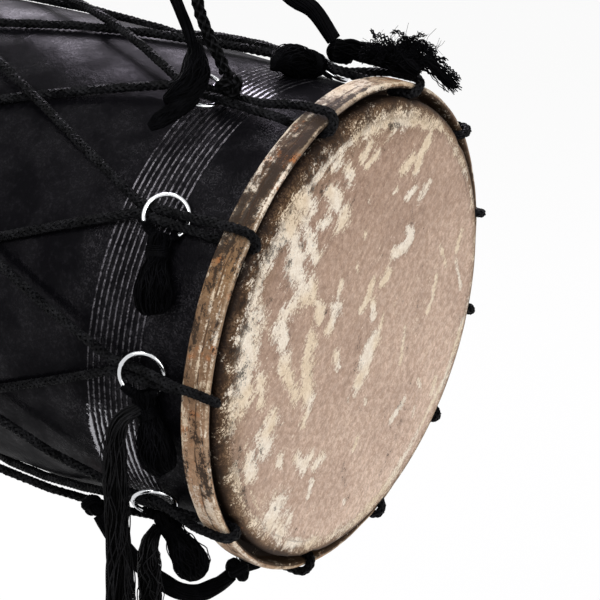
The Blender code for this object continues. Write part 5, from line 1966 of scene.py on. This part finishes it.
@dataclass
class Swag:
    """The soft cord slung under the treble end, and its two knots."""

    radius: float = 0.0070
    knot: float = 0.0090
    front_angle: float = 224.4
    rear_wrap: int = 7
    rear_depth: float = 0.1417
    rows: tuple = ((0.0335, 222.1, 0.0408), (0.0497, 221.3, 0.0521), (0.0717, 222.0, 0.0545),
                   (0.1017, 225.7, 0.0456), (0.1237, 230.0, 0.0331))
    threads: int = 84
    thread: float = 0.00048
    spacing: float = 0.0032

    def ends(self) -> tuple[Vector, Vector]:
        """Return the middles of the front and rear knots."""
        depth = (TREBLE.setback + TREBLE.band_rear) / 2 + TREBLE.set_back(self.front_angle)
        front = BODY.at(TREBLE.face - depth, self.front_angle, TREBLE.lap_outer + GAP + self.knot)
        x = TREBLE.face - self.rear_depth
        wrap = self.rear_wrap
        near = LACING.wrap(TREBLE, LACING.treble(wrap), LACING.parting(wrap), LACING.ring_lift)[0]
        far = LACING.wrap(BASS, LACING.bass(wrap - LACING.step + 1), LACING.bass_parting(), LACING.bass_lift)[-1]
        share = (x - far[0]) / (near[0] - far[0])
        radius = BODY.radius(x) + LACING.low_leg(share) + LACING.rope + GAP + self.knot
        return front, BODY.at(x, far[1] + (near[1] - far[1]) * share, radius)

    def build(self) -> None:
        """Make the cord and its knots."""
        front, rear = self.ends()
        middle = over_barrel(self.rows)
        start = ball_exit(front, self.knot, middle[0])
        stop = ball_exit(rear, self.knot, middle[-1])
        line = Line(Line.flowing([start, *middle, stop], self.spacing))
        swell = profile_along(len(line.points), (0.8, 1.0, 1.0, 1.0, 1.0, 0.8))
        cord = Bundle(self.radius, self.threads, self.thread, 61, 26.0, 0.10, 0.10).build("slung_cord", line, swell)
        Bench.fit(cord, Slot.YARN, "drum", "bottom_swag_cord")
        2 * self.radius
        [tuple(point) for point in line.points[::4]] + [tuple(stop)]
        LOG.info("slung cord: %.3f m", line.length)
        for name, node, centre, angle, turn in (("slung_cord_front_knot", "swag_front_knot", front, 224.4, 0.3),
                                                ("slung_cord_rear_knot", "swag_rear_knot", rear, 236.0, 1.2)):
            knot = trefoil(centre, self.knot + 0.002, 0.0042, BODY.radial(angle), turn)
            tied = Bundle(0.0042, 44, self.thread, 62, 40.0, 0.1, 0.12).build(name, knot, np.ones(len(knot.points)))
            Bench.fit(tied, Slot.YARN, "drum", node)


@dataclass
class Strap:
    """The strap: a braided rope, a soft cord and a strand of yarn, bound where it hangs."""

    rope_radius: float = 0.0052
    yarn_radius: float = 0.0045
    cord_radius: float = 0.0080
    rope_knot: float = 0.0095
    cord_knot: float = 0.0115
    rope_wrap: int = 10
    cord_wrap: int = 0
    cord_knot_ahead: float = 0.0083
    bass_knot_depth: float = 0.0872
    rope_near: tuple = ((-0.0105, 0.0023, 0.0170), (-0.0215, 0.0043, 0.0310), (-0.0305, 0.0058, 0.0470),
                        (-0.0385, 0.0073, 0.0653))
    cord_near: tuple = ((-0.0230, -0.0075, 0.0327), (-0.0435, -0.0125, 0.0447))
    yarn_near: tuple = ((0.0008, -0.0035, -0.0030), (-0.0045, -0.0020, 0.0100), (-0.0165, -0.0015, 0.0330))
    bows: tuple = (0.0090, -0.0050, 0.0175)
    rise_shares: tuple = (0.25, 0.70)
    fall_shares: tuple = (0.35, 0.70)
    crest: tuple = (0.045, 0.012)
    crest_half: float = 0.014
    rope_aside: float = -0.0078
    cord_aside: float = 0.0080
    yarn_aside: float = -0.0185
    hank_rows: tuple = ((0.1202, 347.3, 0.0441), (0.1080, 341.7, 0.0330), (0.1037, 337.1, 0.0295),
                        (0.1147, 334.1, 0.0215), (0.1252, 330.9, 0.0155))
    hank_parts: tuple = (
        (((0.1202, 347.3, 0.0441), (0.1085, 342.2, 0.0350), (0.1062, 338.8, 0.0325), (0.1120, 336.4, 0.0300),
          (0.1190, 335.6, 0.0270)), 0.0120, (0.45, 0.72, 0.95, 1.0, 0.9, 0.35)),
        (((0.0985, 338.6, 0.0290), (0.1050, 335.6, 0.0262), (0.1150, 333.2, 0.0205), (0.1258, 330.4, 0.0152)),
         0.0070, (0.7, 1.0, 1.0, 1.0, 0.95, 0.5)))
    binding_radius: float = 0.0035
    binding_room: float = 0.0013
    binding_rounding: float = 0.6
    binding_turns: int = 6
    thread: float = 0.0005

    def on_pair(self, x: float, angle: float, rope_lift: float, radius: float) -> Vector:
        """Return the middle of a knot that sits on the two legs of a wrap."""
        reach = radius + LACING.rope + GAP
        beside = LACING.rope + LACING.clearance
        return BODY.at(x, angle, rope_lift + math.sqrt(reach ** 2 - beside ** 2))

    def knots(self, wrap: int, radius: float, ahead: float) -> tuple[Vector, Vector]:
        """Return the middles of a cord's knots at the treble and bass ends.

        Args:
            wrap: The wrap that carries the knots.
            radius: The knots' radius.
            ahead: Distance of the treble knot before the middle of its ring.

        Returns:
            The treble and the bass knot.
        """
        x = TREBLE.face - LACING.ring_depth(wrap) + ahead
        near = self.on_pair(x, LACING.treble(wrap), LACING.ring_lift(x), radius)
        x = self.bass_knot_depth - BASS.face
        return near, self.on_pair(x, LACING.bass(wrap), LACING.bass_lift(x), radius)

    def rise(self, start: Vector, stop: Vector, bow: float) -> list[Vector]:
        """Return the points of a rising stretch that bows upwards."""
        return [start.lerp(stop, share) + Vector((0.0, 0.0, 4 * share * (1 - share) * bow))
                for share in self.rise_shares]

    def route(self, knots: tuple, radius: float, near: tuple, bow: float, aside: float) -> list[Vector]:
        """Return a cord's points from its treble knot over the hanging point to its bass knot."""
        first = offsets(knots[0], near)
        start = ball_exit(knots[0], radius, first[0])
        out, down = self.crest
        top = [Vector((out, aside, -down)), Vector((self.crest_half, aside, 0.0)),
               Vector((-self.crest_half, aside, 0.0)), Vector((-out, aside, -down))]
        stop = ball_exit(knots[1], radius, top[-1])
        fall = [top[-1].lerp(stop, share) for share in self.fall_shares]
        return [start, *first, *self.rise(first[-1], top[0], bow), *top, *fall, stop]

    def declare(self, item: bpy.types.Object, line: Line) -> None:
        """Log how long a cord is."""
        path = [tuple(point) for point in line.points[::5]]
        path.append(tuple(line.points[-1]))
        LOG.info("%s: %.3f m", item.name, line.length)

    def make_rope(self) -> None:
        """Make the braided rope and its knots."""
        ahead = LACING.ring_radius + LACING.ring_wire + GAP + self.rope_knot
        knots = self.knots(self.rope_wrap, self.rope_knot, ahead)
        line = Line(Line.flowing(self.route(knots, self.rope_knot, self.rope_near, self.bows[0], self.rope_aside),
                                 0.002))
        rope = Braid(self.rope_radius, 0.032, 0.00172, 0.00045).build("braided_strap", line)
        Bench.fit(rope, Slot.ROPE, "drum", "strap_rope")
        self.declare(rope, line)
        for end, centre in zip((TREBLE, BASS), knots):
            knot = trefoil(centre, self.rope_knot + 0.003, 0.0045, BODY.radial(LACING.treble(self.rope_wrap)), 0.5)
            tied = Braid(0.0045, 0.026, 0.0015, 0.0004).build(f"braided_strap_{end.name}_knot", knot)
            Bench.fit(tied, Slot.ROPE, "drum", f"strap_rope_{end.name}_knot")

    def make_cord(self) -> None:
        """Make the soft cord and its knots."""
        knots = self.knots(self.cord_wrap, self.cord_knot, self.cord_knot_ahead)
        line = Line(Line.flowing(self.route(knots, self.cord_knot, self.cord_near, self.bows[1], self.cord_aside),
                                 0.006))
        swell = np.interp(line.reach, (0.0, 0.02, 0.06, line.length - 0.02, line.length), (0.75, 0.8, 1, 1, 0.8))
        cord = Bundle(self.cord_radius, 96, self.thread, 51, 12.0, 0.20, 0.07).build("soft_cord", line, swell)
        Bench.fit(cord, Slot.YARN, "drum", "strap_cord")
        self.declare(cord, line)
        for end, centre, turn in zip((TREBLE, BASS), knots, (0.2, 1.0)):
            knot = trefoil(centre, self.cord_knot + 0.0012, 0.0068, BODY.radial(LACING.treble(self.cord_wrap)), turn)
            tied = Bundle(0.0068, 72, self.thread, 52, 30.0, 0.1, 0.10).build(
                f"soft_cord_{end.name}_knot", knot, np.ones(len(knot.points)))
            Bench.fit(tied, Slot.YARN, "drum", f"strap_cord_{end.name}_knot")

    def make_strand(self) -> None:
        """Make the strand of yarn and the hank at its end."""
        hank_route = over_barrel(self.hank_rows)
        near = offsets(hank_route[0], self.yarn_near)
        crest = [Vector((self.crest_half, self.yarn_aside, 0.0)), Vector((-self.crest_half, self.yarn_aside, 0.0))]
        line = Line(Line.flowing([*near, *self.rise(near[-1], crest[0], self.bows[2]), *crest], 0.0040))
        strand = Bundle(self.yarn_radius, 48, self.thread, 55, 20.0, 0.12, 0.12).build(
            "yarn_strand", line, np.ones(len(line.points)))
        Bench.fit(strand, Slot.YARN, "drum", "strap_yarn")
        self.declare(strand, line)
        parts = []
        for number, (rows, radius, form) in enumerate(self.hank_parts):
            line = Line(Line.flowing(over_barrel(rows), 0.0022))
            swell = profile_along(len(line.points), form)
            parts.append(Bundle(radius, 110, self.thread, 56 + number, 8.0, 0.22, 0.14).build(
                f"yarn_strand_hank_{number}", line, swell))
        Bench.fit(Bench.join("yarn_strand_hank", parts), Slot.YARN, "drum", "strap_yarn_hank")

    def make_binding(self) -> None:
        """Wind yarn round the strap where it hangs."""
        low = self.yarn_aside - self.yarn_radius
        high = self.cord_aside + self.cord_radius
        lines = []
        for layer, (turns, reach, thread) in enumerate(((self.binding_turns, 0.0055, -0.0016),
                                                        (self.binding_turns - 1, 0.0042, 0.0004))):
            half_width = (high - low) / 2 + self.binding_radius + self.binding_room + thread
            half_height = self.cord_radius + self.binding_radius + self.binding_room + thread
            turn = np.linspace(0, 2 * math.pi * turns, 48 * turns)
            square = np.maximum(np.abs(np.cos(turn)), np.abs(np.sin(turn))) ** -self.binding_rounding
            x = np.linspace(-reach, reach, len(turn)) * (1 if layer else -1)
            lines.append(np.stack([x, (low + high) / 2 + half_width * square * np.cos(turn),
                                   half_height * square * np.sin(turn)], axis=1))
        item = Bench.tubes("wound_binding", lines, 0.00105, 1)
        Bench.fit(item, Slot.YARN, "drum", "strap_binding")

    def build(self) -> None:
        """Make the whole strap."""
        self.make_rope()
        self.make_cord()
        self.make_strand()
        self.make_binding()


@dataclass
class Studio:
    """Camera, lamps, world and floor."""

    place: tuple = (0.974, -1.0437, 0.2117)
    azimuth: float = 34.713
    elevation: float = 27.042
    lens: float = 104.83
    aim: tuple = (0.1, 0.0, -0.448)
    floor_height: float = -1.45
    ambient: float = 0.45
    lamps: tuple = (("key", (0.3, -1.9, 1.5), (1.2, 1.2), 34.0, (1.0, 1.0, 1.0)),
                    ("head_fill", (2.4, -0.7, 0.5), (1.5, 1.5), 36.0, (1.0, 1.0, 1.0)),
                    ("sheen", (-1.10, 1.37, 0.70), (0.9, 1.7), 30.0, (0.92, 0.84, 1.0)),
                    ("strip", (0.10, -0.10, 1.55), (0.14, 1.9), 15.0, (1.0, 1.0, 1.0)),
                    ("rear", (-2.0, 1.4, 0.6), (1.4, 1.4), 10.0, (1.0, 1.0, 1.0)))

    def add_camera(self) -> None:
        """Put the camera at the photograph's viewing angle."""
        data = bpy.data.cameras.new("photo_camera")
        data.lens = self.lens
        data.sensor_width = 36.0
        camera = bpy.data.objects.new("photo_camera", data)
        camera.location = self.place
        camera.rotation_euler = (math.radians(90 - self.elevation), 0.0, math.radians(self.azimuth))
        bpy.context.scene.collection.objects.link(camera)
        bpy.context.scene.camera = camera

    def add_lamp(self, name: str, place: tuple, size: tuple, power: float, color: tuple) -> None:
        """Add a soft lamp that faces the drum.

        Args:
            name: The lamp's name.
            place: Where it stands.
            size: Its width and height.
            power: Its power in watts.
            color: Its colour.
        """
        data = bpy.data.lights.new(name, "AREA")
        data.energy = power
        data.color = color
        data.shape = "RECTANGLE"
        data.size, data.size_y = size
        lamp = bpy.data.objects.new(name, data)
        lamp.location = place
        lamp.rotation_euler = (Vector(self.aim) - Vector(place)).to_track_quat("-Z", "Y").to_euler()
        bpy.context.scene.collection.objects.link(lamp)

    def add_world(self) -> None:
        """Light the scene softly from all round, and show white behind the drum."""
        world = bpy.data.worlds.new("studio")
        world.use_nodes = True
        tree = world.node_tree
        tree.nodes.clear()
        paths = tree.nodes.new("ShaderNodeLightPath")
        total = None
        for name in ("Is Camera Ray", "Is Glossy Ray", "Is Transmission Ray"):
            if total is None:
                total = paths.outputs[name]
                continue
            add = tree.nodes.new("ShaderNodeMath")
            add.operation = "ADD"
            add.use_clamp = True
            tree.links.new(total, add.inputs[0])
            tree.links.new(paths.outputs[name], add.inputs[1])
            total = add.outputs[0]
        strength = tree.nodes.new("ShaderNodeMapRange")
        strength.inputs["To Min"].default_value = self.ambient
        strength.inputs["To Max"].default_value = 1.0
        tree.links.new(total, strength.inputs["Value"])
        background = tree.nodes.new("ShaderNodeBackground")
        background.inputs["Color"].default_value = (1.0, 1.0, 1.0, 1.0)
        tree.links.new(strength.outputs[0], background.inputs["Strength"])
        output = tree.nodes.new("ShaderNodeOutputWorld")
        tree.links.new(background.outputs[0], output.inputs["Surface"])
        bpy.context.scene.world = world

    def add_floor(self) -> None:
        """Lay the pale floor."""
        Bench.clear()
        bpy.ops.mesh.primitive_plane_add(size=24.0, location=(0.0, 0.0, self.floor_height))
        floor = bpy.context.object
        floor.name = "floor"
        floor.data.materials.append(FloorFinish().build())

    def build(self) -> None:
        """Make the whole studio."""
        self.add_camera()
        for row in self.lamps:
            self.add_lamp(*row)
        self.add_world()
        self.add_floor()
        bpy.context.scene.view_settings.view_transform = "Standard"


FINISHES = {
    Slot.LACQUER: LacquerFinish().build(),
    Slot.HIDE: HideFinish("worn_hide").build(),
    Slot.CANE: CaneFinish().build(),
    Slot.ROPE: FibreFinish("braided_black_rope", (0.0009, 0.0009, 0.0011), (0.0105, 0.0105, 0.0120), 900.0, 0.5,
                           0.045).build(),
    Slot.YARN: FibreFinish("black_yarn", (0.0004, 0.0004, 0.0006), (0.0030, 0.0030, 0.0038), 1100.0, 0.55,
                           0.02).build(),
    Slot.CHROME: ChromeFinish().build(),
    Slot.PASTE: PasteFinish().build(),
}

# A lighter, shinier copy of the black yarn for the long tassels: dust, and painted light that makes their threads read
# brighter.
DUST_AND_SHEEN_YARN = FibreFinish("dust_and_sheen_black_yarn", (0.0010, 0.0010, 0.0012), (0.0090, 0.0088, 0.0100), 1100.0, 0.5,
                         0.06).build()


def dress_carried_nodes() -> None:
    """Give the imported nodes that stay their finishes."""
    for name, slot in (("treble_hoop", Slot.CANE), ("bass_hoop", Slot.CANE), ("bass_paste", Slot.PASTE)):
        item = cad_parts[name]
        item.data.materials.clear()
        item.data.materials.append(FINISHES[slot])
        LOG.info("dressed %s", name)


def main() -> None:
    """Build the dressed drum in order."""
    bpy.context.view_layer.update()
    Studio().build()
    Strap().build()
    Swag().build()
    Barrel().build()
    DrumHead(TREBLE, list(LACING.angles), wear=WEAR, stains=STAINS, look=TREBLE_LOOK).build()
    DrumHead(BASS, [LACING.bass(index) for index in range(LACING.wraps)], steps=264, ring=0.004,
             look=BASS_LOOK, plain=(0.36, 0.27, 0.20), light=(0.40, 0.30, 0.22)).build()
    LACING.build()
    TuningRings().build()
    HANKS.build()
    LongTassels().build()
    FrayedTassel().build()
    dress_carried_nodes()


if __name__ == "__main__":
    main()
